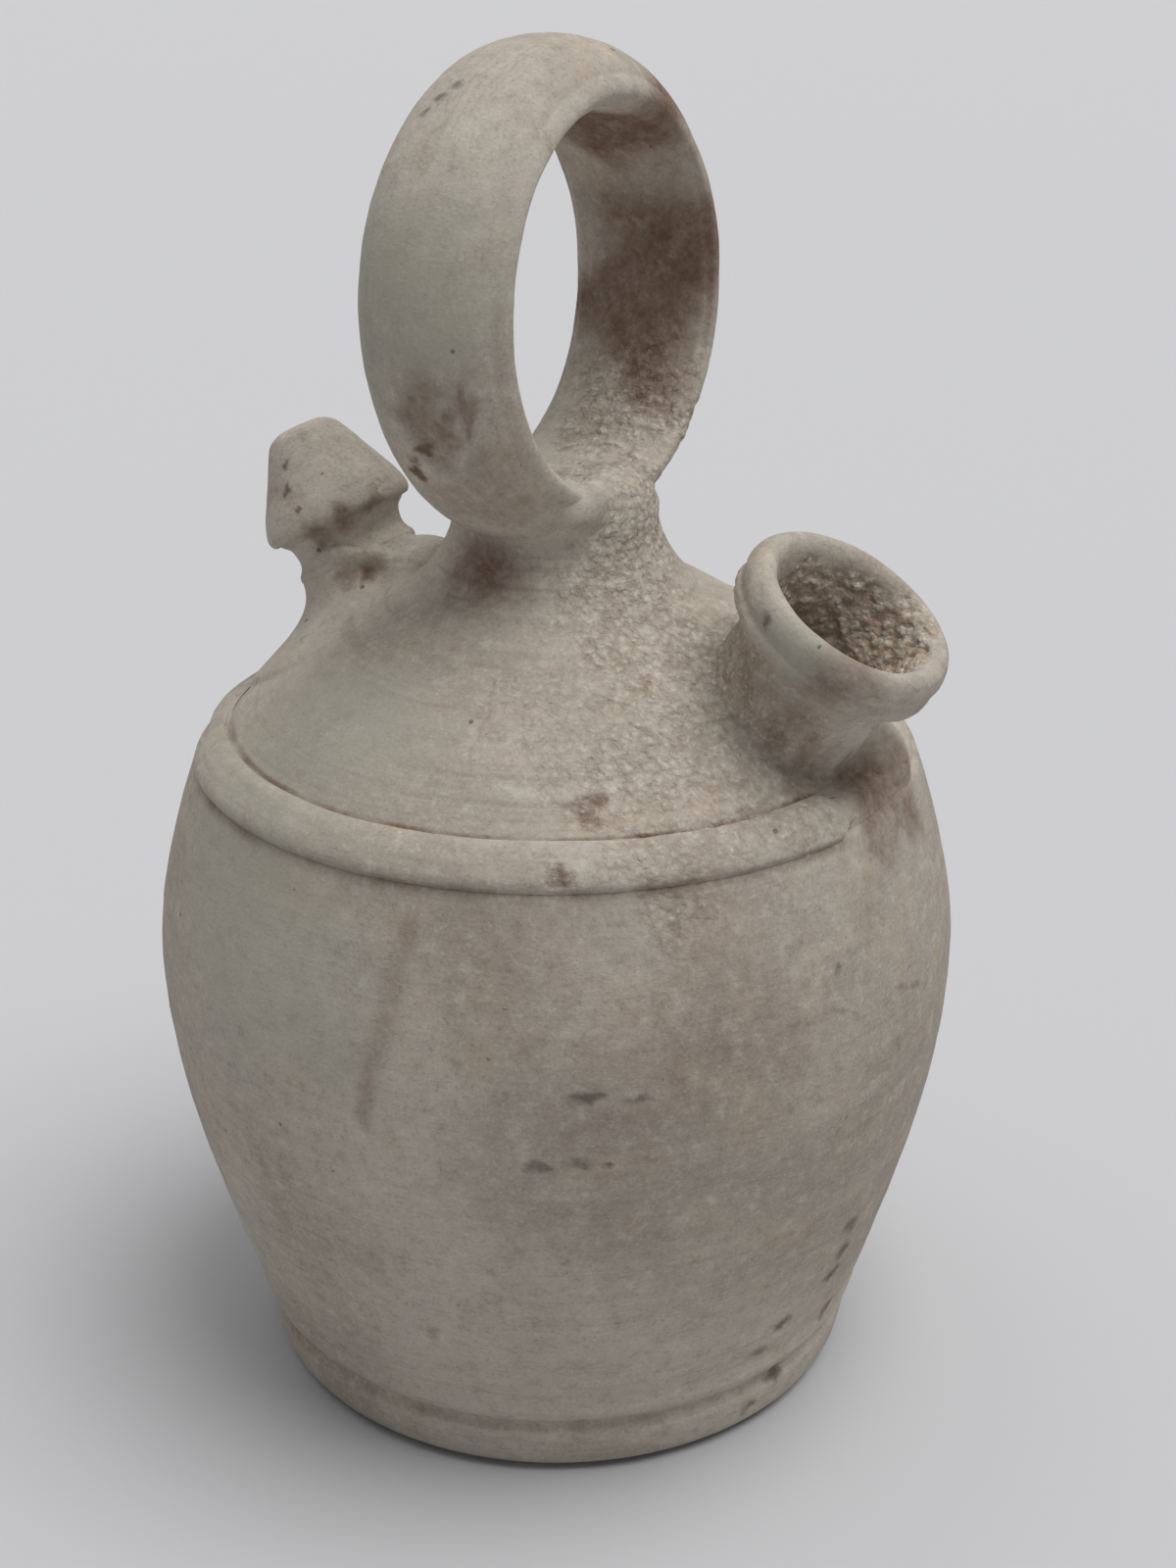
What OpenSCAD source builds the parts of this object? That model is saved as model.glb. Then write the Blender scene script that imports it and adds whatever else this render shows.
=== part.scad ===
// Botijo: a closed earthenware water jug with a ring handle on top,
// a filling mouth on one side of the shoulder and a drinking spout on the other.
// Origin: centre of the flat base. +Z up, the mouth leans to +X, the spout to -X.
// The clay pieces are thrown one by one and luted together before firing.

/* [Pot] */
// Radius of the flat base at the ground
base_r = 66.8; // [60:0.2:70]
// Radius at the top of the foot band
foot_r = 72.3; // [70.5:0.1:73.5]
// Height of the foot band, up to its groove
foot_h = 13; // [9:0.5:16]
// Depth of the groove above the foot band
groove_d = 0.8; // [0.3:0.1:1.5]
// Radius of the wall where it leaves the foot
waist_r = 74.6; // [73.2:0.1:77]
// Height where the wall leaves the foot
waist_h = 22; // [19:0.5:26]
// Largest radius of the belly
belly_r = 92; // [86:0.5:98]
// Height of the largest radius
belly_h = 104; // [95:1:114]
// Outer radius of the pot at its rim, under the cordon
rim_r = 82; // [79:0.5:85]
// Height of the pot's rim
rim_h = 150.6; // [144:0.2:158]
// Thickness of the pot's wall
pot_wall = 6.5; // [4.5:0.1:8]
// Thickness of the pot's floor
floor_t = 8; // [5:0.5:12]

/* [Shoulder] */
// How far the crease above the cordon lies inside the pot's rim
cordon_w = 8.8; // [7:0.2:11]
// Rise from the pot's rim to that crease
dome_step = 7.5; // [5:0.5:10]
// Rise from that crease to the seat of the handle stem
dome_rise = 29.4; // [24:0.2:36]
// Thickness of the dome
dome_wall = 6; // [4:0.1:7]
// How far the cordon stands out of the line between its creases
cordon_bulge = 3.6; // [2:0.1:5]

/* [Handle] */
// Radius of the stem where it rests on the dome
stem_foot_r = 34; // [30:0.5:38]
// Radius of the stem below the ring
stem_r = 24; // [20:0.5:27]
// Height of the stem
stem_h = 16.5; // [14:0.5:20]
// How deep the ring is pressed into the stem
ring_seat = 5.6; // [3:0.2:8]
// Outer radius of the ring at the middle of its width
ring_outer_r = 53.4; // [48:0.2:60]
// Thickness of the ring at the middle of its width
ring_t = 16; // [12:0.5:18]
// Width of the ring over its two lips
ring_w = 37; // [30:0.5:42]
// Thickness of the ring's lips
lip_t = 2.6; // [1.8:0.1:4]
// How far the ring's hole opens towards its lips
ring_flare = 2.3; // [0.5:0.1:4]
// Height of the luting clay at the mouth side of the ring's foot
saddle_h = 11; // [6:0.5:14]

/* [Mouth] */
// How far the mouth's axis comes out of the dome inside its crease
mouth_in = 15.5; // [14:0.5:18]
// Length of the mouth along its axis, from the dome to the rim's top
mouth_len = 28.5; // [25:0.5:33]
// Lean of the mouth from upright
mouth_lean = 32.5; // [28:0.5:38]
// Outer radius of the rolled rim
mouth_rim_r = 24.6; // [22:0.1:27]
// Height of the rolled rim
mouth_rim_h = 13; // [10:0.5:15]
// Outer radius of the mouth's neck
mouth_neck_r = 19.6; // [17.5:0.1:21]
// Inner radius at the lip
mouth_lip_r = 17.8; // [16:0.1:19]
// Radius of the throat
throat_r = 14; // [11:0.1:15]
// Length of the straight throat
throat_len = 9; // [6:0.5:10]
// Radius of the hole cut in the dome under the mouth
mouth_hole_r = 15.2; // [15.1:0.1:16]

/* [Spout] */
// How far the spout's axis comes out of the dome inside its crease
spout_in = 23.1; // [21:0.1:26]
// Length of the spout's neck along its axis, from the dome to the nozzle
spout_len = 17.9; // [15:0.1:22]
// Lean of the spout from upright
spout_lean = 28; // [23:0.5:33]
// Radius of the nozzle at its lower edge
nozzle_r = 18.5; // [16:0.1:20]
// Radius of the nozzle at its shoulder
nozzle_top_r = 8.6; // [7:0.1:10]
// Length of the nozzle
nozzle_len = 25; // [21:0.5:30]
// Radius of the drinking hole
drip_r = 1.75; // [1.2:0.05:2.5]
// Length of the drinking hole
drip_len = 10; // [7:0.5:13]
// Outer radius of the spout's neck
spout_neck_r = 13.8; // [12.5:0.1:15]
// How far the bead round the spout's neck stands out
spout_bead = 1.1; // [0.4:0.1:1.4]
// Radius of the passage in the spout's neck
spout_bore_r = 8.2; // [6:0.1:9]

/* [Luting] */
// How far the luting clay spreads round the foot of the spout
spout_luting_w = 13; // [9:0.5:15]
// How far that clay climbs the spout's neck
spout_luting_h = 7.9; // [5:0.1:9]
// How far the luting clay spreads round the foot of the mouth
mouth_luting_w = 10; // [7:0.5:12]
// How far that clay climbs the mouth's neck
mouth_luting_h = 9.5; // [6:0.5:11]
// Radius of the tongue of clay that is smeared from the mouth over the cordon
tongue_r = 24; // [20:0.5:26]
// How far the tongue stands out of the pot's rim
tongue_out = 3.6; // [2:0.2:5]
// Gap left between pieces that meet on crossing curved faces
seam = 0.2; // [0.1:0.05:0.4]

/* [Hidden] */
$fn = 96;

crease_h = rim_h + dome_step;
seat_h = crease_h + dome_rise;
stem_top = seat_h + stem_h;
ring_h = stem_top - ring_seat + ring_outer_r;
dome_r = rim_r - cordon_w;
joint_r = rim_r - pot_wall / 2;
joint_step = 1.4;
reach = 2 * mouth_len;

clay = [0.66, 0.63, 0.59];
clay_dark = [0.58, 0.55, 0.50];

// Points of a smooth curve from a to d that leaves a along p and arrives at d along q
function curve(a, p, d, q, n) =
    let (b = a + p / 3, c = d - q / 3)
    [for (i = [0:n]) let (t = i / n, u = 1 - t)
        u * u * u * a + 3 * u * u * t * b + 3 * u * t * t * c + t * t * t * d];

// Points moved to the left of their line by a distance
function shifted(pts, by) =
    [for (i = [0:len(pts) - 1])
        let (a = pts[max(i - 1, 0)], b = pts[min(i + 1, len(pts) - 1)], v = (b - a) / norm(b - a))
        pts[i] + by * [-v[1], v[0]]];

function reversed(pts) = [for (i = [len(pts) - 1:-1:0]) pts[i]];

// Outline of the pot from the ground up to its rim, as radius and height
foot_line = [[base_r, 0], [base_r + (foot_r - base_r) * 0.45, foot_h * 0.16],
             [base_r + (foot_r - base_r) * 0.75, foot_h * 0.5], [foot_r, foot_h * 0.92],
             [foot_r - groove_d, foot_h + 1], [(foot_r + waist_r) / 2 + 0.3, foot_h + 3]];
wall_low = curve([waist_r, waist_h], [0.3 * (belly_h - waist_h), belly_h - waist_h],
                 [belly_r, belly_h], [0, belly_h - waist_h], 16);
wall_high = curve([belly_r, belly_h], [0, rim_h - belly_h],
                  [rim_r, rim_h], [-0.35 * (rim_h - belly_h), rim_h - belly_h], 10);
wall_line = concat(wall_low, [for (i = [1:len(wall_high) - 1]) wall_high[i]]);

// Outline of the dome from the crease up to the seat of the stem
dome_len = norm([dome_r - stem_foot_r, dome_rise]);
dome_slope_top = [-0.876, 0.482];
dome_line = curve([dome_r, crease_h], dome_len * [-0.736, 0.677],
                  [stem_foot_r, seat_h], dome_len * dome_slope_top, 14);

// Where the axes of the mouth and the spout come out of the dome
mouth_foot = [dome_r - mouth_in, lookup(dome_r - mouth_in, dome_line)];
spout_foot = [dome_r - spout_in, lookup(dome_r - spout_in, dome_line)];

// Outline of the stem from the dome up to the ring
stem_line = curve([stem_foot_r, seat_h], stem_h * dome_slope_top,
                  [stem_r, stem_top], [0, stem_h], 8);

// Outline of the cordon's roll from the pot's rim up to the dome's crease
function cordon_line(grow) =
    let (low = [rim_r, rim_h], high = [dome_r, crease_h], mid = (low + high) / 2,
         along = (high - low) / 2, out = [along[1], -along[0]] / norm(along))
    [for (a = [0:12:180])
        mid - along * cos(a) + out * (cordon_bulge * pow(sin(a), 0.8) + grow)];

// Half of the ring's outline, from the middle of its width to one lip
ring_edge_r = ring_outer_r - ring_t + ring_flare + lip_t * 0.75;
function ring_back(u) = ring_outer_r - (ring_outer_r - ring_edge_r) * pow(abs(u), 2.2);
function ring_face(u) = ring_outer_r - ring_t + ring_flare * pow(abs(u), 3);

// Places a piece on the mouth's axis, with the rim's top at zero and the axis up
module on_mouth() {
    translate([mouth_foot[0], 0, mouth_foot[1]]) rotate([0, mouth_lean, 0])
        translate([0, 0, mouth_len]) children();
}

// Places a piece on the spout's axis, with the nozzle's seat at zero and the axis up
module on_spout() {
    translate([-spout_foot[0], 0, spout_foot[1]]) rotate([0, -spout_lean, 0])
        translate([0, 0, spout_len]) children();
}

// The upper belly, the cordon, the dome and the stem as one full body, grown by the seam
module shoulder_room() {
    upper = shifted(concat(dome_line, [for (i = [1:len(stem_line) - 1]) stem_line[i]]), -seam);
    rotate_extrude()
        polygon(concat([[0, belly_h]], [for (p = wall_high) p + [seam, 0]], cordon_line(seam),
                       [for (i = [1:len(upper) - 1]) upper[i]], [[0, stem_top]]));
}

// The thrown pot: floor, foot band, belly and open rim
module belly_pot() {
    color(clay) rotate_extrude()
        polygon(concat([[0, 0]], foot_line, wall_line,
                       [[joint_r, rim_h + joint_step], [rim_r - pot_wall, rim_h + joint_step]],
                       reversed([for (p = wall_line) p - [pot_wall, 0]]),
                       [[waist_r - pot_wall - 3, floor_t + 3], [waist_r - pot_wall - 8, floor_t],
                        [0, floor_t]]));
}

// The closed dome on the pot's rim, with the holes under the mouth and the spout
module shoulder_dome() {
    inner = [for (p = shifted(dome_line, dome_wall)) if (p[0] > 0 && p[1] < seat_h - dome_wall) p];
    color(clay) difference() {
        rotate_extrude()
            polygon(concat([[rim_r - pot_wall, rim_h + joint_step], [joint_r, rim_h + joint_step]], dome_line,
                           [[0, seat_h], [0, seat_h - dome_wall]], reversed(inner)));
        on_mouth() translate([0, 0, -reach]) cylinder(r = mouth_hole_r, h = reach);
        on_spout() translate([0, 0, -reach]) cylinder(r = spout_bore_r, h = reach);
    }
}

// The roll of clay pressed over the joint of pot and dome
module shoulder_cordon() {
    color(clay) rotate_extrude()
        polygon(concat(cordon_line(0), [[joint_r, rim_h + joint_step]]));
}

// The ring of the handle, its axis along X
module handle_ring() {
    half = ring_w / 2;
    face = [for (u = [-0.92:0.115:0.921]) [ring_face(u), half * u]];
    back = [for (u = [-1:0.1:1.01]) [ring_back(u), half * u]];
    color(clay) translate([0, 0, ring_h]) rotate([0, 90, 0])
        rotate_extrude() polygon(concat(face, reversed(back)));
}

// The space that the ring fills in the pieces under it
module ring_room() {
    half = ring_w / 2;
    back = [for (u = [-1:0.1:1.01]) [ring_back(u) + seam, (half + seam) * u]];
    translate([0, 0, ring_h]) rotate([0, 90, 0])
        rotate_extrude() polygon(concat([[0, -half - seam]], back, [[0, half + seam]]));
}

// The stem that closes the dome and carries the ring
module handle_stem() {
    color(clay) difference() {
        rotate_extrude() polygon(concat([[0, seat_h]], stem_line, [[0, stem_top]]));
        ring_room();
    }
}

// The luting clay that is built up on the stem against the ring, on the mouth's side
module handle_saddle() {
    color(clay_dark) difference() {
        translate([0, 0, stem_top]) rotate_extrude()
            polygon([[0, 0], [stem_r, 0], [stem_r, saddle_h - 2], [stem_r - 0.7, saddle_h - 0.7],
                     [stem_r - 2, saddle_h], [0, saddle_h]]);
        ring_room();
        translate([-reach + ring_w * 0.3, -reach, stem_top - 1]) cube([reach, 2 * reach, reach]);
        translate([0, 0, ring_h]) rotate([0, 90, 0])
            cylinder(r = ring_outer_r - ring_t + ring_flare, h = reach);
    }
}

// Outline of the mouth's rim and neck, as radius and height below the rim's top
module mouth_outline() {
    r = mouth_rim_r;
    h = mouth_rim_h;
    n = mouth_neck_r;
    bore_top = -h - 1;
    polygon(concat(
        [[mouth_lip_r, -h * 0.28], [mouth_lip_r + 0.5, -h * 0.14], [mouth_lip_r + 1.5, -h * 0.04],
         [mouth_lip_r + 2.6, 0], [r - 3, -h * 0.03], [r - 1.4, -h * 0.12], [r - 0.3, -h * 0.28],
         [r, -h * 0.42], [r - 0.5, -h * 0.52], [r - 0.2, -h * 0.62], [r - 0.3, -h * 0.76],
         [r - 1.2, -h * 0.9], [r - 2.8, -h]],
        [[n + 0.4, -h - 1], [n, -h - 2.5], [n, -reach]],
        [[throat_r + 1, -reach], [throat_r + 1, bore_top - throat_len - 1],
         [throat_r, bore_top - throat_len], [throat_r, bore_top]]));
}

// The filling mouth: a short neck with a rolled rim
module mouth_tube() {
    color(clay) difference() {
        on_mouth() rotate_extrude() mouth_outline();
        shoulder_room();
    }
}

// The outer form of the clay at the mouth's foot, without what it is laid on
module mouth_luting_form() {
    n = mouth_neck_r;
    w = mouth_luting_w;
    top = mouth_luting_h - mouth_len;
    low = -mouth_len - 0.65 * w;
    on_mouth() rotate_extrude()
        polygon(concat([[0, top]],
                       curve([n + 0.12 * w, top], [0, -1.2 * w], [n + w, low], [1.4 * w, -0.7 * w], 8),
                       [[n + w, low - w], [0, low - w]]));
}

// The clay that joins the mouth to the dome
module mouth_luting() {
    color(clay_dark) difference() {
        mouth_luting_form();
        shoulder_room();
        on_mouth() translate([0, 0, -reach]) cylinder(r = mouth_neck_r + seam, h = reach);
    }
}

// The tongue of clay smeared from the mouth's foot over the cordon onto the belly
module luting_tongue() {
    color(clay_dark) difference() {
        translate([rim_r + tongue_out - tongue_r, 0, rim_h + 2]) sphere(r = tongue_r);
        shoulder_room();
        mouth_luting_form();
        on_mouth() translate([0, 0, -reach]) cylinder(r = mouth_neck_r + 2 * seam, h = reach);
    }
}

// The neck of the spout
module spout_neck() {
    n = spout_neck_r;
    l = spout_len;
    color(clay) difference() {
        on_spout() rotate_extrude()
            polygon([[spout_bore_r, 0], [n + spout_bead, 0], [n + spout_bead * 0.2, -l * 0.08],
                     [n, -l * 0.18], [n + spout_bead * 0.5, -l * 0.31], [n + spout_bead, -l * 0.44],
                     [n + spout_bead * 0.8, -l * 0.55], [n + spout_bead * 0.8, -l * 1.8],
                     [spout_bore_r, -l * 1.8]]);
        shoulder_room();
    }
}

// The nozzle: a blunt cone with the drinking hole in its tip
module spout_nozzle() {
    r = nozzle_r;
    t = nozzle_top_r;
    l = nozzle_len;
    color(clay) on_spout() rotate_extrude()
        polygon([[spout_bore_r, 0], [r - 1.6, 0], [r - 0.4, 0.5], [r, 1.8], [r - 0.3, 4],
                 [t + 1.1, l - 4.4], [t, l - 2.4], [t - 1.7, l - 0.9], [t - 3.8, l - 0.2],
                 [drip_r + 1.5, l], [drip_r, l], [drip_r, l - drip_len], [spout_bore_r, 2]]);
}

// The clay that joins the spout to the dome
module spout_luting() {
    n = spout_neck_r + spout_bead + seam;
    w = spout_luting_w;
    top = spout_luting_h - spout_len;
    low = -spout_len - 0.7 * w;
    color(clay_dark) difference() {
        on_spout() rotate_extrude()
            polygon(concat([[n, low - w], [n, top]],
                           curve([n + 0.05 * w, top], [0, -0.9 * w], [n + w, low],
                                 [1.2 * w, -0.7 * w], 8),
                           [[n + w, low - w]]));
        shoulder_room();
    }
}

belly_pot();
shoulder_dome();
shoulder_cordon();
handle_stem();
handle_ring();
handle_saddle();
mouth_tube();
mouth_luting();
luting_tongue();
spout_neck();
spout_nozzle();
spout_luting();
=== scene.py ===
"""A botijo of unglazed earthenware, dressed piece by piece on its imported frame."""

import logging
import math
from collections.abc import Sequence
from dataclasses import dataclass
from enum import Enum

import bpy
import numpy as np
from mathutils import Matrix, Vector


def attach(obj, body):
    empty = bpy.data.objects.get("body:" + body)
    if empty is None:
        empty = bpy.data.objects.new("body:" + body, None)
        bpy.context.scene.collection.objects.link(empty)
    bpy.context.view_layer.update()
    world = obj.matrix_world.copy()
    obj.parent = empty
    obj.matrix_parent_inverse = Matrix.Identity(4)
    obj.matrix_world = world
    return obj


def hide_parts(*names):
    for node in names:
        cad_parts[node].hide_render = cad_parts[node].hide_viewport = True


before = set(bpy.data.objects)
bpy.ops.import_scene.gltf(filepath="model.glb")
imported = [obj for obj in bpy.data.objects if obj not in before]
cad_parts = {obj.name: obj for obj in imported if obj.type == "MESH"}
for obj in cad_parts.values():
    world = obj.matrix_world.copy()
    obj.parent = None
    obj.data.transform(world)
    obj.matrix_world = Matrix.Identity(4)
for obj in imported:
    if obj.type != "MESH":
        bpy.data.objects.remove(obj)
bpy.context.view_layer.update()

MM = 0.001
LOG = logging.getLogger("botijo")

Point = tuple[float, float]
Place = tuple[float, float, float]
Colour = tuple[float, float, float, float]
Socket = bpy.types.NodeSocket


def smooth_run(start: Point, leave: Point, end: Point, arrive: Point, count: int) -> list[Point]:
    """Points of a curve that leaves start along one arrow and reaches end along another.

    Args:
        start: First point, as radius and height.
        leave: Arrow at the first point.
        end: Last point.
        arrive: Arrow at the last point.
        count: Number of steps.

    Returns:
        The points, both ends included.
    """
    second = (start[0] + leave[0] / 3, start[1] + leave[1] / 3)
    third = (end[0] - arrive[0] / 3, end[1] - arrive[1] / 3)
    run = []
    for i in range(count + 1):
        t = i / count
        u = 1 - t
        shares = (u * u * u, 3 * u * u * t, 3 * u * t * t, t * t * t)
        corners = (start, second, third, end)
        run.append(tuple(sum(s * c[k] for s, c in zip(shares, corners)) for k in (0, 1)))
    return run


def through(points: Sequence[Point], step: float) -> list[Point]:
    """A smooth line through given points, with even small steps.

    Args:
        points: The points that the line passes.
        step: Length of one step, in the points' unit.

    Returns:
        The points of the line.
    """
    line = []
    last = len(points) - 1
    for i in range(last):
        before, a, b, after = (np.array(points[min(max(j, 0), last)]) for j in (i - 1, i, i + 1, i + 2))
        count = max(1, round(float(np.linalg.norm(b - a)) / step))
        leave = (b - before) / 2 if i > 0 else b - a
        arrive = (after - a) / 2 if i + 1 < last else b - a
        size = float(np.linalg.norm(b - a))
        leave = leave / max(float(np.linalg.norm(leave)), 1e-9) * size
        arrive = arrive / max(float(np.linalg.norm(arrive)), 1e-9) * size
        line += smooth_run(tuple(a), tuple(leave), tuple(b), tuple(arrive), count)[:-1]
    return line + [points[-1]]


def straight(points: Sequence[Point], step: float) -> list[Point]:
    """The same corners joined by straight stretches, with even steps.

    Args:
        points: The corners.
        step: Length of one step.

    Returns:
        The points of the line.
    """
    line = []
    for a, b in zip(points, points[1:]):
        count = max(1, round(math.dist(a, b) / step))
        wide, high = b[0] - a[0], b[1] - a[1]
        line += [(a[0] + wide * i / count, a[1] + high * i / count) for i in range(count)]
    return line + [points[-1]]


def both_sides(half: Sequence[Point]) -> list[Point]:
    """Half an outline and its mirror image across the middle, as one closed line.

    Args:
        half: The half, from the middle round to the middle.

    Returns:
        The whole outline.
    """
    return list(half) + [(r, -x) for r, x in reversed(half)][1:]


def height_on(line: list[Point], radius: float) -> float:
    """Height of an outline where it has a given radius.

    Args:
        line: The outline, with falling radius.
        radius: The radius to look up.

    Returns:
        The height there.
    """
    for a, b in zip(line, line[1:]):
        if b[0] <= radius <= a[0]:
            return a[1] + (b[1] - a[1]) * (a[0] - radius) / (a[0] - b[0])
    return line[-1][1]


def ease(value: np.ndarray, low: float, high: float) -> np.ndarray:
    """A soft step from 0 at low to 1 at high.

    Args:
        value: The values to step.
        low: Where the step starts.
        high: Where it ends.

    Returns:
        Values between 0 and 1.
    """
    t = np.clip((value - low) / (high - low), 0.0, 1.0)
    return t * t * (3 - 2 * t)


class Bench:
    """Modelling moves that every piece shares, made with Blender's operators."""

    @staticmethod
    def clear() -> None:
        """Leave edit mode and deselect everything."""
        if bpy.context.object and bpy.context.object.mode != "OBJECT":
            bpy.ops.object.mode_set(mode="OBJECT")
        bpy.ops.object.select_all(action="DESELECT")

    @staticmethod
    def pick(piece: bpy.types.Object) -> None:
        """Make one piece the only selected and active one.

        Args:
            piece: The piece.
        """
        Bench.clear()
        piece.select_set(True)
        bpy.context.view_layer.objects.active = piece

    @staticmethod
    def settle(piece: bpy.types.Object, place: Matrix) -> None:
        """Put a piece in its place and move that place into its mesh.

        Args:
            piece: The piece, modelled upright round the Z axis.
            place: Where it goes, in the row frame.
        """
        Bench.pick(piece)
        piece.matrix_world = place @ piece.matrix_world
        bpy.ops.object.transform_apply(location=True, rotation=True, scale=True)

    @staticmethod
    def turned(
        name: str, outline: Sequence[Point], steps: int, place: Matrix | None = None
    ) -> bpy.types.Object:
        """Throw a form: draw its outline vertex by vertex and spin it round the Z axis.

        Args:
            name: Name of the piece.
            outline: Radius and height of each point, in millimetres.
            steps: Number of steps round the axis.
            place: Where the form goes, or None to leave it upright.

        Returns:
            The new piece, closed, with its normals outwards.
        """
        Bench.clear()
        first = Vector((outline[0][0] * MM, 0, outline[0][1] * MM))
        bpy.ops.mesh.primitive_plane_add(size=MM, location=first)
        piece = bpy.context.object
        piece.name = name
        bpy.ops.object.transform_apply(location=True, rotation=True, scale=True)
        bpy.ops.object.mode_set(mode="EDIT")
        bpy.ops.mesh.select_all(action="SELECT")
        bpy.ops.mesh.merge(type="CENTER")
        for a, b in zip(outline, outline[1:]):
            move = ((b[0] - a[0]) * MM, 0, (b[1] - a[1]) * MM)
            bpy.ops.mesh.extrude_region_move(TRANSFORM_OT_translate={"value": move})
        bpy.ops.mesh.select_all(action="SELECT")
        bpy.ops.mesh.spin(steps=steps, angle=2 * math.pi, center=(0, 0, 0), axis=(0, 0, 1))
        Bench.close_up()
        if place is not None:
            Bench.settle(piece, place)
        return piece

    @staticmethod
    def close_up() -> None:
        """Merge doubles and turn the normals outwards, then leave edit mode."""
        bpy.ops.mesh.select_all(action="SELECT")
        bpy.ops.mesh.remove_doubles(threshold=0.002 * MM)
        bpy.ops.mesh.normals_make_consistent(inside=False)
        bpy.ops.object.mode_set(mode="OBJECT")

    @staticmethod
    def ball(name: str, centre: Place, radii: Place) -> bpy.types.Object:
        """A lump of clay: an ellipsoid.

        Args:
            name: Name of the piece.
            centre: Its centre, in millimetres.
            radii: Its three radii, in millimetres.

        Returns:
            The new piece.
        """
        Bench.clear()
        bpy.ops.mesh.primitive_uv_sphere_add(segments=48, ring_count=24, radius=MM)
        lump = bpy.context.object
        lump.name = name
        lump.scale = radii
        lump.location = Vector(centre) * MM
        bpy.ops.object.transform_apply(location=True, rotation=True, scale=True)
        return lump

    @staticmethod
    def cut_flat(piece: bpy.types.Object, point: Place, away: Place) -> None:
        """Slice off what lies beyond a plane and close the cut.

        Args:
            piece: The piece.
            point: A point of the plane, in millimetres.
            away: The side that goes.
        """
        Bench.pick(piece)
        bpy.ops.object.mode_set(mode="EDIT")
        bpy.ops.mesh.select_all(action="SELECT")
        bpy.ops.mesh.bisect(plane_co=Vector(point) * MM, plane_no=away, use_fill=True, clear_outer=True)
        bpy.ops.object.mode_set(mode="OBJECT")

    @staticmethod
    def trim_sides(piece: bpy.types.Object, half_width: float) -> None:
        """Slice both sides off a piece, square to Y.

        Args:
            piece: The piece.
            half_width: Half the width that stays, in millimetres.
        """
        for along in (1, -1):
            Bench.cut_flat(piece, (0, along * half_width, 0), (0, along, 0))

    @staticmethod
    def modify(piece: bpy.types.Object, kind: str, **settings: object) -> None:
        """Add a modifier with its settings and apply it.

        Args:
            piece: The piece.
            kind: Blender's name for the modifier.
            settings: The modifier's settings by name.
        """
        Bench.pick(piece)
        bpy.ops.object.modifier_add(type=kind)
        modifier = piece.modifiers[-1]
        for key, value in settings.items():
            setattr(modifier, key, value)
        bpy.ops.object.modifier_apply(modifier=modifier.name)

    @staticmethod
    def weld(lumps: list[bpy.types.Object], grain: float, rounds: int) -> bpy.types.Object:
        """Press lumps into one mass and smooth it, so that clay fills the creases between them.

        Args:
            lumps: The overlapping lumps.
            grain: Size of the mass's facets, in millimetres.
            rounds: How often it is smoothed.

        Returns:
            The mass.
        """
        Bench.clear()
        for lump in lumps:
            lump.select_set(True)
        bpy.context.view_layer.objects.active = lumps[0]
        bpy.ops.object.join()
        mass = bpy.context.object
        Bench.modify(mass, "REMESH", mode="VOXEL", voxel_size=grain * MM)
        Bench.modify(mass, "SMOOTH", factor=0.5, iterations=rounds)
        return mass

    @staticmethod
    def drill(piece: bpy.types.Object, radius: float, place: Matrix) -> None:
        """Drill a piece along the axis of the mouth or the spout.

        Args:
            piece: The piece.
            radius: Radius of the hole, in millimetres.
            place: The frame of the mouth or the spout, whose axis points out of the jug.
        """
        low, high = -60, 2
        rod = Bench.turned("rod", [(0, low), (radius, low), (radius, high), (0, high)], 96, place)
        Bench.modify(piece, "BOOLEAN", operation="DIFFERENCE", solver="EXACT", object=rod)
        bpy.data.objects.remove(rod)

    @staticmethod
    def places(piece: bpy.types.Object) -> np.ndarray:
        """Every vertex's place.

        Args:
            piece: The piece.

        Returns:
            One row a vertex, in millimetres.
        """
        flat = np.empty(len(piece.data.vertices) * 3)
        piece.data.vertices.foreach_get("co", flat)
        return flat.reshape(-1, 3) / MM

    @staticmethod
    def normals(piece: bpy.types.Object) -> np.ndarray:
        """Every vertex's outward normal.

        Args:
            piece: The piece.

        Returns:
            One row a vertex.
        """
        flat = np.empty(len(piece.data.vertices) * 3)
        piece.data.vertex_normals.foreach_get("vector", flat)
        return flat.reshape(-1, 3)

    @staticmethod
    def weigh(piece: bpy.types.Object, name: str, weights: np.ndarray) -> None:
        """Store one weight a vertex in a vertex group.

        Args:
            piece: The piece.
            name: Name of the group.
            weights: The weights, in the vertices' order.
        """
        finest = 32
        group = piece.vertex_groups.new(name=name)
        levels = np.round(np.clip(weights, 0, 1) * finest).astype(int)
        for level in range(1, finest + 1):
            chosen = np.nonzero(levels == level)[0]
            if len(chosen):
                group.add(chosen.tolist(), level / finest, "REPLACE")


def bearing(places: np.ndarray) -> np.ndarray:
    """Degrees round the jug's axis from the mouth's side, -180 to 180."""
    return np.degrees(np.arctan2(places[:, 1], places[:, 0]))


# Where the cordon is smeared over, in degrees round the jug: under the spout and behind the mouth.
# Each row: its middle, how far from there it is pressed quite flat, and where it ends.
SMEARS = ((186.0, 20.0, 44.0), (17.0, 23.0, 30.0))


def smeared_over(places: np.ndarray) -> np.ndarray:
    """Where the roll is pressed flat and its creases are smeared over.

    Args:
        places: Places in millimetres.

    Returns:
        Values between 0 and 1.
    """
    pressed = np.zeros(len(places))
    for middle, flat, end in SMEARS:
        apart = abs((bearing(places) - middle + 180) % 360 - 180)
        pressed = np.maximum(pressed, 1 - ease(apart, flat, end))
    return pressed


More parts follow.
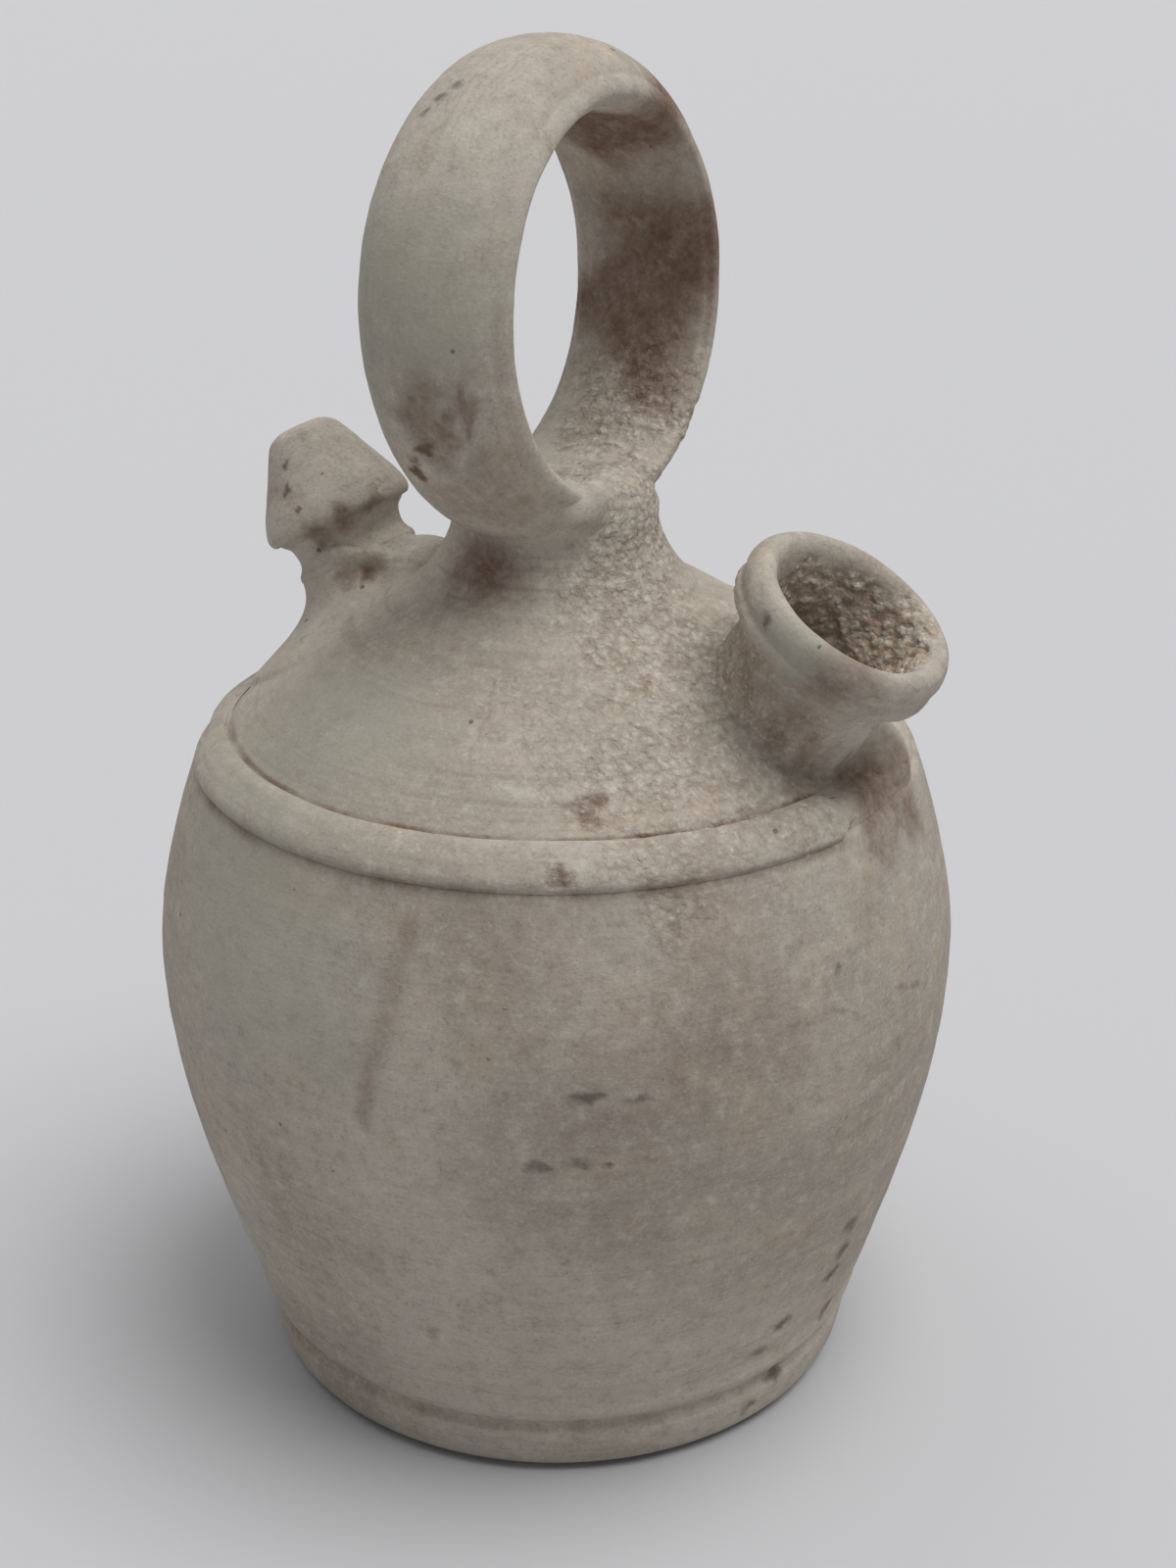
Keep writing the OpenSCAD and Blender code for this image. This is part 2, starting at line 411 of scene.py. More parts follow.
class Mark(Enum):
    """What time and use left on the clay, one channel of the colour attribute each; the dirt channel also
    holds painted shade.
    """

    # Dirt together with painted shade: the shadow under the ring, the shade about the mouth's foot and in
    # the creases.
    DIRT_AND_SHADE = 0
    CRUST = 1
    SMUDGE = 2
    LICHEN = 3


@dataclass(frozen=True)
class Spot:
    """One soft-edged patch of a mark.

    Attributes:
        at: Its centre on the clay, in millimetres.
        size: Its radius, in millimetres.
        force: How strong it is at the centre.
        stretch: How much longer it is along each axis.
        core: Share of the radius that has full force.
        only: Start of the names of the pieces that it lies on.
        ragged: How much its outline wanders.
    """

    at: Place
    size: float
    force: float = 1.0
    stretch: Place = (1.0, 1.0, 1.0)
    core: float = 0.3
    only: str = ""
    ragged: float = 1.0

    def cover(self, places: np.ndarray) -> np.ndarray:
        """How strongly the patch covers each place.

        Args:
            places: Places in millimetres.

        Returns:
            Values from 0 to the patch's force.
        """
        apart = (places - np.array(self.at)) / (self.size * np.array(self.stretch))
        # Slow waves, then quicker ones, let the outline wander, differently at each place.
        sway = np.sin(4.3 * apart[:, [1, 2, 0]] + self.at[0]) * np.sin(5.9 * apart[:, [2, 0, 1]])
        apart = apart + 0.16 * self.ragged * sway
        apart = apart + 0.09 * self.ragged * np.sin(11.0 * apart[:, [2, 0, 1]] + self.at[1])
        return self.force * (1 - ease(np.linalg.norm(apart, axis=1), self.core, 1.0))


@dataclass(frozen=True)
class Crease:
    """Darkening along a crease that runs round the jug, partly gathered dirt and partly painted shade.

    Attributes:
        at: Radius and height of the crease, in millimetres.
        reach: How far the darkening reaches from it, in millimetres.
        force: How strong it is in the crease.
    """

    at: Point
    reach: float
    force: float

    def cover(self, places: np.ndarray) -> np.ndarray:
        """How strongly the darkening covers each place.

        Args:
            places: Places in millimetres.

        Returns:
            Values from 0 to the force.
        """
        radius = np.hypot(places[:, 0], places[:, 1])
        apart = np.hypot(radius - self.at[0], places[:, 2] - self.at[1])
        around = bearing(places) % 360
        # Two waves round the jug, 22 and 9.7 degrees from crest to hollow, leave it patchy.
        patchy = 0.7 + 0.3 * np.sin(around / 7.0) * np.sin(around / 3.1)
        open_crease = 1 - smeared_over(places)
        return self.force * patchy * open_crease * (1 - ease(apart, 0.2 * self.reach, self.reach))


@dataclass(frozen=True)
class Crack:
    """A hairline crack, a scratch or a drip.

    Attributes:
        path: The points that it passes, in millimetres.
        reach: Half its width, in millimetres.
        force: How dark it is.
    """

    path: tuple[Place, ...]
    reach: float = 0.9
    force: float = 0.5

    def cover(self, places: np.ndarray) -> np.ndarray:
        """How strongly the crack covers each place.

        Args:
            places: Places in millimetres.

        Returns:
            Values from 0 to the force.
        """
        # A hairline never runs straight: half a millimetre to and fro, every 5 mm.
        shaken = places + 0.5 * np.sin(1.3 * places[:, [1, 2, 0]])
        apart = np.full(len(places), 1e9)
        for a, b in zip(np.array(self.path), np.array(self.path[1:])):
            share = np.clip((shaken - a) @ (b - a) / ((b - a) @ (b - a)), 0, 1)
            apart = np.minimum(apart, np.linalg.norm(shaken - a - share[:, None] * (b - a), axis=1))
        return self.force * (1 - ease(apart, 0.1 * self.reach, self.reach))


class Side(Enum):
    """The side of the jug that a neck stands on, with its sign along X."""

    MOUTH = 1
    SPOUT = -1


@dataclass(frozen=True)
class Jug:
    """The driving sizes of the jug, in millimetres, as in its frame.

    Attributes:
        waist, belly, rim, crease, seat, stem_top: Radius and height of what the outline passes.
        waist_run, rim_run, crease_run, seat_run: Its arrow there, for one unit of its stretch.
        stem_slim: How much slimmer the stem is at its top.
        wall, dome_wall: Thickness of the pot and the dome.
        ring_h, ring_outer: Height of the ring's middle and its outer radius.
        mouth_in, mouth_len, mouth_lean: The mouth's place, as neck_place takes it.
        spout_in, spout_len, spout_lean: The spout's.
        ring_tip: Degrees that the ring leans, less than 0 towards the spout.
        tip_about: Share of its radius below its middle, about which it leans.
    """

    waist: Point = (74.6, 22.0)
    belly: Point = (92.0, 104.0)
    rim: Point = (82.0, 150.6)
    crease: Point = (73.2, 158.1)
    seat: Point = (34.0, 187.5)
    stem_top: Point = (24.0, 204.0)
    waist_run: Point = (0.3, 1.0)
    rim_run: Point = (-0.35, 1.0)
    crease_run: Point = (-0.736, 0.677)
    seat_run: Point = (-0.876, 0.482)
    stem_slim: float = 0.9
    wall: float = 6.5
    dome_wall: float = 6.0
    ring_h: float = 251.8
    ring_outer: float = 53.4
    mouth_in: float = 15.5
    mouth_len: float = 28.5
    mouth_lean: float = 32.5
    spout_in: float = 23.1
    spout_len: float = 17.9
    spout_lean: float = 28.0
    ring_tip: float = -1.8
    tip_about: float = 0.88

    @staticmethod
    def stretch(
        start: Point, run: Point, end: Point, arrive: Point, size: float, step: float
    ) -> list[Point]:
        """One stretch of the outline.

        Args:
            start: Where it starts.
            run: Its arrow there, for one unit of its size.
            end: Where it ends.
            arrive: Its arrow there.
            size: Its size.
            step: Length of one step.

        Returns:
            The points of the stretch, both ends included.
        """
        arrows = [(arrow[0] * size, arrow[1] * size) for arrow in (run, arrive)]
        return smooth_run(start, arrows[0], end, arrows[1], round(size / step))

    def wall_line(self, step: float) -> list[Point]:
        """Outline of the belly from the waist up to the rim.

        Args:
            step: Length of one step.

        Returns:
            The points of the outline.
        """
        up = (0.0, 1.0)
        low = self.belly[1] - self.waist[1]
        high = self.rim[1] - self.belly[1]
        lower = self.stretch(self.waist, self.waist_run, self.belly, up, low, step)
        return lower + self.stretch(self.belly, up, self.rim, self.rim_run, high, step)[1:]

    def dome_line(self, step: float) -> list[Point]:
        """Outline of the dome from the crease up to the stem's seat."""
        size = math.dist(self.crease, self.seat)
        return self.stretch(self.crease, self.crease_run, self.seat, self.seat_run, size, step)

    def stem_line(self, step: float) -> list[Point]:
        """Outline of the stem from its seat up to the ring."""
        size = self.stem_top[1] - self.seat[1]
        return self.stretch(self.seat, self.seat_run, self.stem_top, (0.0, 1.0), size, step)

    def slim_stem_line(self, step: float) -> list[Point]:
        """The stem's outline, drawn in a little towards its top."""
        rise = self.stem_top[1] - self.seat[1]
        return [(r - self.stem_slim * (z - self.seat[1]) / rise, z) for r, z in self.stem_line(step)]

    def neck_place(self, side: Side, inward: float, length: float, lean: float) -> Matrix:
        """The frame of a neck on the dome: zero at its top, the axis up.

        Args:
            side: The side that it stands on and leans to.
            inward: How far its axis comes out of the dome inside the crease.
            length: Its length along its axis.
            lean: Its lean from upright, in degrees.

        Returns:
            The frame.
        """
        foot = self.crease[0] - inward
        height = height_on(self.dome_line(1.0), foot)
        turn = Matrix.Rotation(math.radians(side.value * lean), 4, "Y")
        rise = Matrix.Translation((0, 0, length * MM))
        return Matrix.Translation((side.value * foot * MM, 0, height * MM)) @ turn @ rise

    def mouth_place(self) -> Matrix:
        """The mouth's own frame: the rim's top at zero, the axis up."""
        return self.neck_place(Side.MOUTH, self.mouth_in, self.mouth_len, self.mouth_lean)

    def spout_place(self) -> Matrix:
        """The spout's own frame: the nozzle's seat at zero, the axis up."""
        return self.neck_place(Side.SPOUT, self.spout_in, self.spout_len, self.spout_lean)

    def ring_place(self) -> Matrix:
        """The ring's own frame: its axis along X, tipped a little towards the spout about its foot.

        Returns:
            The frame.
        """
        foot = self.ring_h - self.tip_about * self.ring_outer
        tip = Matrix.Rotation(math.radians(self.ring_tip), 4, "Y")
        rise = Matrix.Translation((0, 0, (self.ring_h - foot) * MM))
        stood_up = Matrix.Rotation(math.radians(90), 4, "Y")
        return Matrix.Translation((0, 0, foot * MM)) @ tip @ rise @ stood_up


JUG = Jug()


class Swell(Enum):
    """How a surface is pressed, with Blender's name for the texture."""

    SOFT = "CLOUDS"
    CRUMBLED = "VORONOI"


@dataclass(frozen=True)
class HandTouch:
    """The unevenness that the potter's hands and the weather leave, in millimetres.

    Attributes:
        wobble: Depth of the slow unevenness.
        wobble_size: Width of one slow swell.
        dent: Depth of the small dents.
        dent_size: Width of a small dent.
        crumb: Depth of the pits between the crumbs of crusted clay.
        crumb_size: Width of one crumb.
        lump: Depth of the crust's larger lumps.
        lump_size: Width of one lump.
        swell_stays: Value of the slow textures that stays in place.
        lump_stays: The same of the crust's lumps.
        pit_stays: The same of its pits.
    """

    wobble: float = 0.7
    wobble_size: float = 50.0
    dent: float = 0.55
    dent_size: float = 11.0
    crumb: float = 0.35
    crumb_size: float = 2.6
    lump: float = 0.7
    lump_size: float = 5.0
    swell_stays: float = 0.72
    lump_stays: float = 0.55
    pit_stays: float = 0.2

    @staticmethod
    def press(
        piece: bpy.types.Object, kind: Swell, size: float, depth: float, level: float, group: str
    ) -> None:
        """Push a piece's surface in and out by one texture.

        Args:
            piece: The piece.
            kind: How it is pressed.
            size: Width of one swell.
            depth: Depth of the push, negative to turn it round.
            level: Value of the texture that stays in place.
            group: Vertex group that limits the push, or an empty name.
        """
        relief = bpy.data.textures.new("relief", type=kind.value)
        relief.noise_scale = size * MM
        if kind is Swell.SOFT:
            relief.noise_depth = 2
            relief.noise_basis = "IMPROVED_PERLIN"
        else:
            relief.distance_metric = "DISTANCE_SQUARED"
        Bench.modify(
            piece,
            "DISPLACE",
            texture=relief,
            texture_coords="LOCAL",
            strength=depth * MM,
            mid_level=level,
            vertex_group=group,
        )

    def work(self, piece: bpy.types.Object, rough: np.ndarray, held: np.ndarray | None = None) -> None:
        """Press the unevenness into a piece and note how deep each vertex lies in the crust.

        Args:
            piece: The piece.
            rough: How crusted each vertex is.
            held: How freely each vertex may move, or None for all alike.
        """
        free = ""
        if held is not None:
            Bench.weigh(piece, "free", held)
            free = "free"
        self.press(piece, Swell.SOFT, self.wobble_size, self.wobble, self.swell_stays, free)
        self.press(piece, Swell.SOFT, self.dent_size, self.dent, self.swell_stays, free)
        before = Bench.places(piece)
        if rough.max() > 0.03:
            Bench.weigh(piece, "rough", rough)
            self.press(piece, Swell.SOFT, self.lump_size, self.lump, self.lump_stays, "rough")
            self.press(piece, Swell.CRUMBLED, self.crumb_size, -self.crumb, self.pit_stays, "rough")
            self.press(piece, Swell.SOFT, self.crumb_size * 0.9, 0.8 * self.crumb, self.lump_stays, "rough")
        depth = np.einsum("ij,ij->i", before - Bench.places(piece), Bench.normals(piece))
        pit = piece.data.attributes.new("pit", "FLOAT", "POINT")
        pit.data.foreach_set("value", np.clip(depth / self.crumb, -1, 1).astype(np.float32))
        piece.vertex_groups.clear()


def linear(code: str) -> Colour:
    """Turn a written sRGB colour into the linear one that shaders take.

    Args:
        code: The colour as six hex digits.

    Returns:
        Linear red, green, blue and full opacity.
    """
    parts = [int(code[i : i + 2], 16) / 255 for i in (0, 2, 4)]
    return tuple(p / 12.92 if p <= 0.04045 else ((p + 0.055) / 1.055) ** 2.4 for p in parts) + (1.0,)


def add_node(
    tree: bpy.types.NodeTree, kind: str, inputs: dict | None = None, **settings: object
) -> bpy.types.Node:
    """Add a node with its settings, values and links.

    Args:
        tree: The node tree.
        kind: Blender's name for the node.
        inputs: Sockets by name or number, each with a value or the socket that feeds it.
        settings: The node's settings by name.

    Returns:
        The new node.
    """
    node = tree.nodes.new(kind)
    for key, value in settings.items():
        setattr(node, key, value)
    for key, value in (inputs or {}).items():
        if isinstance(value, bpy.types.NodeSocket):
            tree.links.new(value, node.inputs[key])
        else:
            node.inputs[key].default_value = value
    return node


class Pattern(Enum):
    """What a clay's colours and relief are made of."""

    LINES = "lines of the potter's fingers"
    BROAD_LINES = "broad lines of the potter's fingers"
    BRUSHED = "streaks of the wiping hand"
    CLOUD = "clouds as wide as a hand"
    PATCH = "patches"
    MOTTLE = "mottling"
    GRAIN = "sand grains"
    CRUMB = "small crumbs"
    GRIT = "hollows between large crumbs"
    SPECKS = "iron specks"
    SPECKLED = "where iron specks lie"
    PIT = "depth in the crust"
    CRUST = "crust"
    GRITTY = "where the crust has large crumbs"
    LICHEN = "green growth"
    # Brown soil and the painted shade that shares the dirt channel.
    SOIL_AND_SHADE = "brown soil"
    SMUDGE = "grey smudges"


@dataclass(frozen=True)
class Layer:
    """One tone that is laid over the clay where a pattern is strong.

    Attributes:
        pattern: The pattern.
        low: Its value where the tone begins, above high to turn it round.
        high: Its value where the tone is full.
        most: Share of the tone where it is full.
        code: The tone, as six hex digits.
        least: Share of the tone where it begins.
        within: A pattern that limits it, or None.
    """

    pattern: Pattern
    low: float
    high: float
    most: float
    code: str
    least: float = 0.0
    within: Pattern | None = None


@dataclass(frozen=True)
class Earthenware:
    """Unglazed white earthenware: thrown, wiped with a wet hand, fired once, weathered since.

    Attributes:
        name: What the finish is called.
        pale: Its lightest clay.
        dull: Its greyer clay.
        warm: Its ochre clay.
        line_mm: Spacing of the throwing lines.
        line_axis: Degrees that the throwing axis leans about Y.
        line_depth: Depth of those lines, in millimetres.
        line_ink: How much darker those lines are.
        crumb: Its crust, between the crumbs.
        crumb_top_and_highlight: Its crust on top of the crumbs, paler, with painted highlights.
        pit_floor_and_shade: Its crust in the pits, darker, with painted shade.
    """

    name: str
    pale: str = "BBB3A7"
    dull: str = "A39A8E"
    warm: str = "B09F8B"
    line_mm: float = 1.3
    line_axis: float = 0.0
    line_depth: float = 0.07
    line_ink: float = 0.18
    crumb: str = "9E8C78"
    crumb_top_and_highlight: str = "DED6C9"
    pit_floor_and_shade: str = "806C57"

    def make(self) -> bpy.types.Material:
        """Build the node material.

        Returns:
            The material.
        """
        material = bpy.data.materials.new(self.name)
        material.use_nodes = True
        tree = material.node_tree
        tree.nodes.clear()
        found = self.patterns(tree)
        # Fired clay without glaze scatters nearly all light: only its grains have a trace of shine.
        grains = {"Value": found[Pattern.GRAIN], "From Min": 0.3, "From Max": 0.7}
        grains |= {"To Min": 0.84, "To Max": 0.97}
        matt = add_node(tree, "ShaderNodeMapRange", grains, interpolation_type="SMOOTHSTEP")
        skin = {
            "Base Color": self.colour(tree, found),
            "Roughness": matt.outputs[0],
            "IOR": 1.5,
            "Specular IOR Level": 0.25,
            "Normal": self.relief(tree, found),
        }
        shader = add_node(tree, "ShaderNodeBsdfPrincipled", skin)
        add_node(tree, "ShaderNodeOutputMaterial", {"Surface": shader.outputs[0]})
        return material

    def patterns(self, tree: bpy.types.NodeTree) -> dict[Pattern, Socket]:
        """Make every pattern that the colours and the relief share.

        Args:
            tree: The material's node tree.

        Returns:
            A socket for each pattern.
        """
        place = add_node(tree, "ShaderNodeTexCoord").outputs["Object"]
        lean = (0, math.radians(-self.line_axis), 0)
        upright = add_node(tree, "ShaderNodeMapping", {"Vector": place, "Rotation": lean}).outputs[0]
        # Fingers and wiping hand go round the piece: long lines, and streaks some 5 mm long.
        fingers, wiping = (
            add_node(tree, "ShaderNodeMapping", {"Vector": upright, "Scale": (k, k, 1.0)}).outputs[0]
            for k in (0.03, 0.3)
        )
        # Each row: the pattern, its coordinates, the width of a swell in millimetres, the number
        # of finer layers and their strength. Sand is finer than 0.8 mm, but would not show.
        noises = (
            (Pattern.LINES, fingers, self.line_mm, 4.0, 0.55),
            (Pattern.BROAD_LINES, fingers, 6 * self.line_mm, 2.0, 0.55),
            (Pattern.BRUSHED, wiping, 1.6, 4.0, 0.7),
            (Pattern.CLOUD, place, 60.0, 5.0, 0.55),
            (Pattern.PATCH, place, 15.0, 6.0, 0.62),
            (Pattern.MOTTLE, place, 4.0, 5.0, 0.7),
            (Pattern.GRAIN, place, 0.8, 3.0, 0.7),
            (Pattern.CRUMB, place, 1.5, 4.0, 0.65),
        )
        found = {}
        for pattern, vector, size_mm, detail, rough in noises:
            feed = {"Vector": vector, "Scale": 1 / (size_mm * MM), "Detail": detail, "Roughness": rough}
            found[pattern] = add_node(tree, "ShaderNodeTexNoise", feed).outputs[0]
        # Crumbs 1.9 mm wide, stirred so that no two are alike, and cells of 11 mm for the specks.
        stir = add_node(tree, "ShaderNodeTexNoise", {"Vector": place, "Scale": 1 / (2.5 * MM)})
        sway = {0: stir.outputs[1], 1: (1.6 * MM,) * 3, 2: place}
        stirred = add_node(tree, "ShaderNodeVectorMath", sway, operation="MULTIPLY_ADD").outputs[0]
        for pattern, vector, size_mm in ((Pattern.GRIT, stirred, 1.9), (Pattern.SPECKS, place, 11.0)):
            feed = {"Vector": vector, "Scale": 1 / (size_mm * MM), "Randomness": 1.0}
            found[pattern] = add_node(tree, "ShaderNodeTexVoronoi", feed).outputs["Distance"]
        wear_and_shade = add_node(tree, "ShaderNodeAttribute", attribute_name="wear_and_shade").outputs
        marks = add_node(tree, "ShaderNodeSeparateColor", {"Color": wear_and_shade["Color"]}).outputs
        found[Pattern.CRUST] = marks[Mark.CRUST.value]
        found[Pattern.LICHEN] = wear_and_shade["Alpha"]
        found[Pattern.PIT] = add_node(tree, "ShaderNodeAttribute", attribute_name="pit").outputs["Fac"]
        # Large crumbs and specks keep to parts of the mottling.
        for pattern, low, high, least in (
            (Pattern.GRITTY, 0.38, 0.62, 0.25),
            (Pattern.SPECKLED, 0.48, 0.52, 0.0),
        ):
            feed = {"Value": found[Pattern.MOTTLE], "From Min": low, "From Max": high, "To Min": least}
            part = add_node(tree, "ShaderNodeMapRange", feed, interpolation_type="SMOOTHSTEP")
            found[pattern] = part.outputs[0]
        gritty = {0: found[Pattern.CRUST], 1: found[Pattern.GRITTY]}
        found[Pattern.GRITTY] = add_node(tree, "ShaderNodeMath", gritty, operation="MULTIPLY").outputs[0]
        # Dirt creeps between the grains of rough clay, so that the edge of a patch frays; the painted shade
        # in the dirt channel frays the same way.
        fray = add_node(
            tree, "ShaderNodeMath", {0: found[Pattern.CRUMB], 1: 0.5, 2: -0.6}, operation="MULTIPLY_ADD"
        )
        grains = {0: found[Pattern.MOTTLE], 1: 0.7, 2: fray.outputs[0]}
        fray = add_node(tree, "ShaderNodeMath", grains, operation="MULTIPLY_ADD")
        for pattern, mark, how in ((Pattern.SOIL_AND_SHADE, Mark.DIRT_AND_SHADE, 1.3), (Pattern.SMUDGE, Mark.SMUDGE, 1.5)):
            patch = marks[mark.value]
            edge = add_node(tree, "ShaderNodeMath", {0: fray.outputs[0], 1: how}, operation="MULTIPLY")
            feed = {0: edge.outputs[0], 1: patch, 2: patch}
            found[pattern] = add_node(tree, "ShaderNodeMath", feed, operation="MULTIPLY_ADD").outputs[0]
        return found

    def layers(self) -> tuple[Layer, ...]:
        """The tones that lie over the dull clay.

        Returns:
            The tones, from the lowest to the topmost.
        """
        return (
            # As it came from the kiln: pale and ochre patches, mottled, with the hand's lines.
            Layer(Pattern.CLOUD, 0.36, 0.64, 1.0, self.pale),
            Layer(Pattern.PATCH, 0.46, 0.74, 0.6, self.warm),
            Layer(Pattern.MOTTLE, 0.5, 0.76, 0.55, "897F72"),
            Layer(Pattern.MOTTLE, 0.5, 0.27, 0.55, "CAC3B6"),
            Layer(Pattern.BRUSHED, 0.5, 0.78, 0.35, "857C70"),
            Layer(Pattern.LINES, 0.5, 0.74, self.line_ink, "7F7365"),
            Layer(Pattern.BROAD_LINES, 0.52, 0.75, 0.2, "C8BEAF"),
            Layer(Pattern.GRAIN, 0.52, 0.75, 0.42, "7D7162"),
            Layer(Pattern.GRAIN, 0.46, 0.28, 0.4, "CFC6B8"),
            # A thin green growth, then the crust: pale crumbs with darker clay between them, the pale tops
            # partly painted highlights.
            Layer(Pattern.PATCH, 0.25, 0.6, 0.75, "A3A294", 0.3, Pattern.LICHEN),
            Layer(Pattern.CRUMB, 0.48, 0.7, 0.4, self.crumb, within=Pattern.CRUST),
            Layer(Pattern.CRUMB, 0.47, 0.3, 0.5, self.crumb_top_and_highlight, within=Pattern.CRUST),
            Layer(Pattern.GRIT, 0.4, 0.8, 0.5, self.crumb, within=Pattern.GRITTY),
            Layer(Pattern.GRIT, 0.36, 0.1, 0.5, self.crumb_top_and_highlight, within=Pattern.GRITTY),
            # Darker the deeper a pit lies, paler where the crust stands up: painted shade in the pits and
            # painted highlights on the raised crust.
            Layer(Pattern.PIT, 0.2, 1.0, 0.4, self.pit_floor_and_shade),
            Layer(Pattern.PIT, -0.1, -0.7, 0.3, "CFC5B6"),
            # Brown soil with painted shade (the shadow under the ring, the shade about the mouth's foot and
            # on the belly's middle, and in the creases), grey smudges from use, and iron in the clay that
            # fired dark.
            Layer(Pattern.SOIL_AND_SHADE, 0.0, 1.0, 1.0, "664937"),
            Layer(Pattern.SMUDGE, 0.05, 0.95, 0.8, "59524C"),
            Layer(Pattern.SPECKS, 0.07, 0.04, 0.7, "4C4037", within=Pattern.SPECKLED),
        )

    def colour(self, tree: bpy.types.NodeTree, found: dict[Pattern, Socket]) -> Socket:
        """Lay every tone over the last.

        Args:
            tree: The material's node tree.
            found: A socket for each pattern.

        Returns:
            The clay's colour.
        """
        colour = linear(self.dull)
        for layer in self.layers():
            feed = {"Value": found[layer.pattern], "From Min": layer.low, "From Max": layer.high}
            feed |= {"To Min": layer.least, "To Max": layer.most}
            share = add_node(tree, "ShaderNodeMapRange", feed, interpolation_type="SMOOTHSTEP").outputs[0]
            if layer.within is not None:
                feed = {0: found[layer.within], 1: share}
                share = add_node(tree, "ShaderNodeMath", feed, operation="MULTIPLY").outputs[0]
            feed = {0: share, 6: colour, 7: linear(layer.code)}
            colour = add_node(tree, "ShaderNodeMix", feed, data_type="RGBA").outputs[2]
        return colour

    def relief(self, tree: bpy.types.NodeTree, found: dict[Pattern, Socket]) -> Socket:
        """Press every pattern into the skin, one over the last.

        Args:
            tree: The material's node tree.
            found: A socket for each pattern.

        Returns:
            The normal.
        """
        crumbs, hollows = (
            add_node(tree, "ShaderNodeMath", {0: found[a], 1: found[b]}, operation="MULTIPLY").outputs[0]
            for a, b in ((Pattern.CRUMB, Pattern.CRUST), (Pattern.GRIT, Pattern.GRITTY))
        )
        # Depths in millimetres, negative where the pattern is a hollow.
        reliefs = (
            (found[Pattern.LINES], self.line_depth),
            (found[Pattern.BROAD_LINES], 2.5 * self.line_depth),
            (found[Pattern.GRAIN], 0.14),
            (found[Pattern.MOTTLE], 0.3),
            (found[Pattern.BRUSHED], 0.1),
            (crumbs, 0.5),
            (hollows, -0.95),
        )
        bump = None
        for pattern, depth in reliefs:
            feed = {"Height": pattern, "Distance": abs(depth) * MM, "Strength": 1.0}
            feed |= {"Normal": bump} if bump is not None else {}
            bump = add_node(tree, "ShaderNodeBump", feed, invert=depth < 0).outputs[0]
        return bump


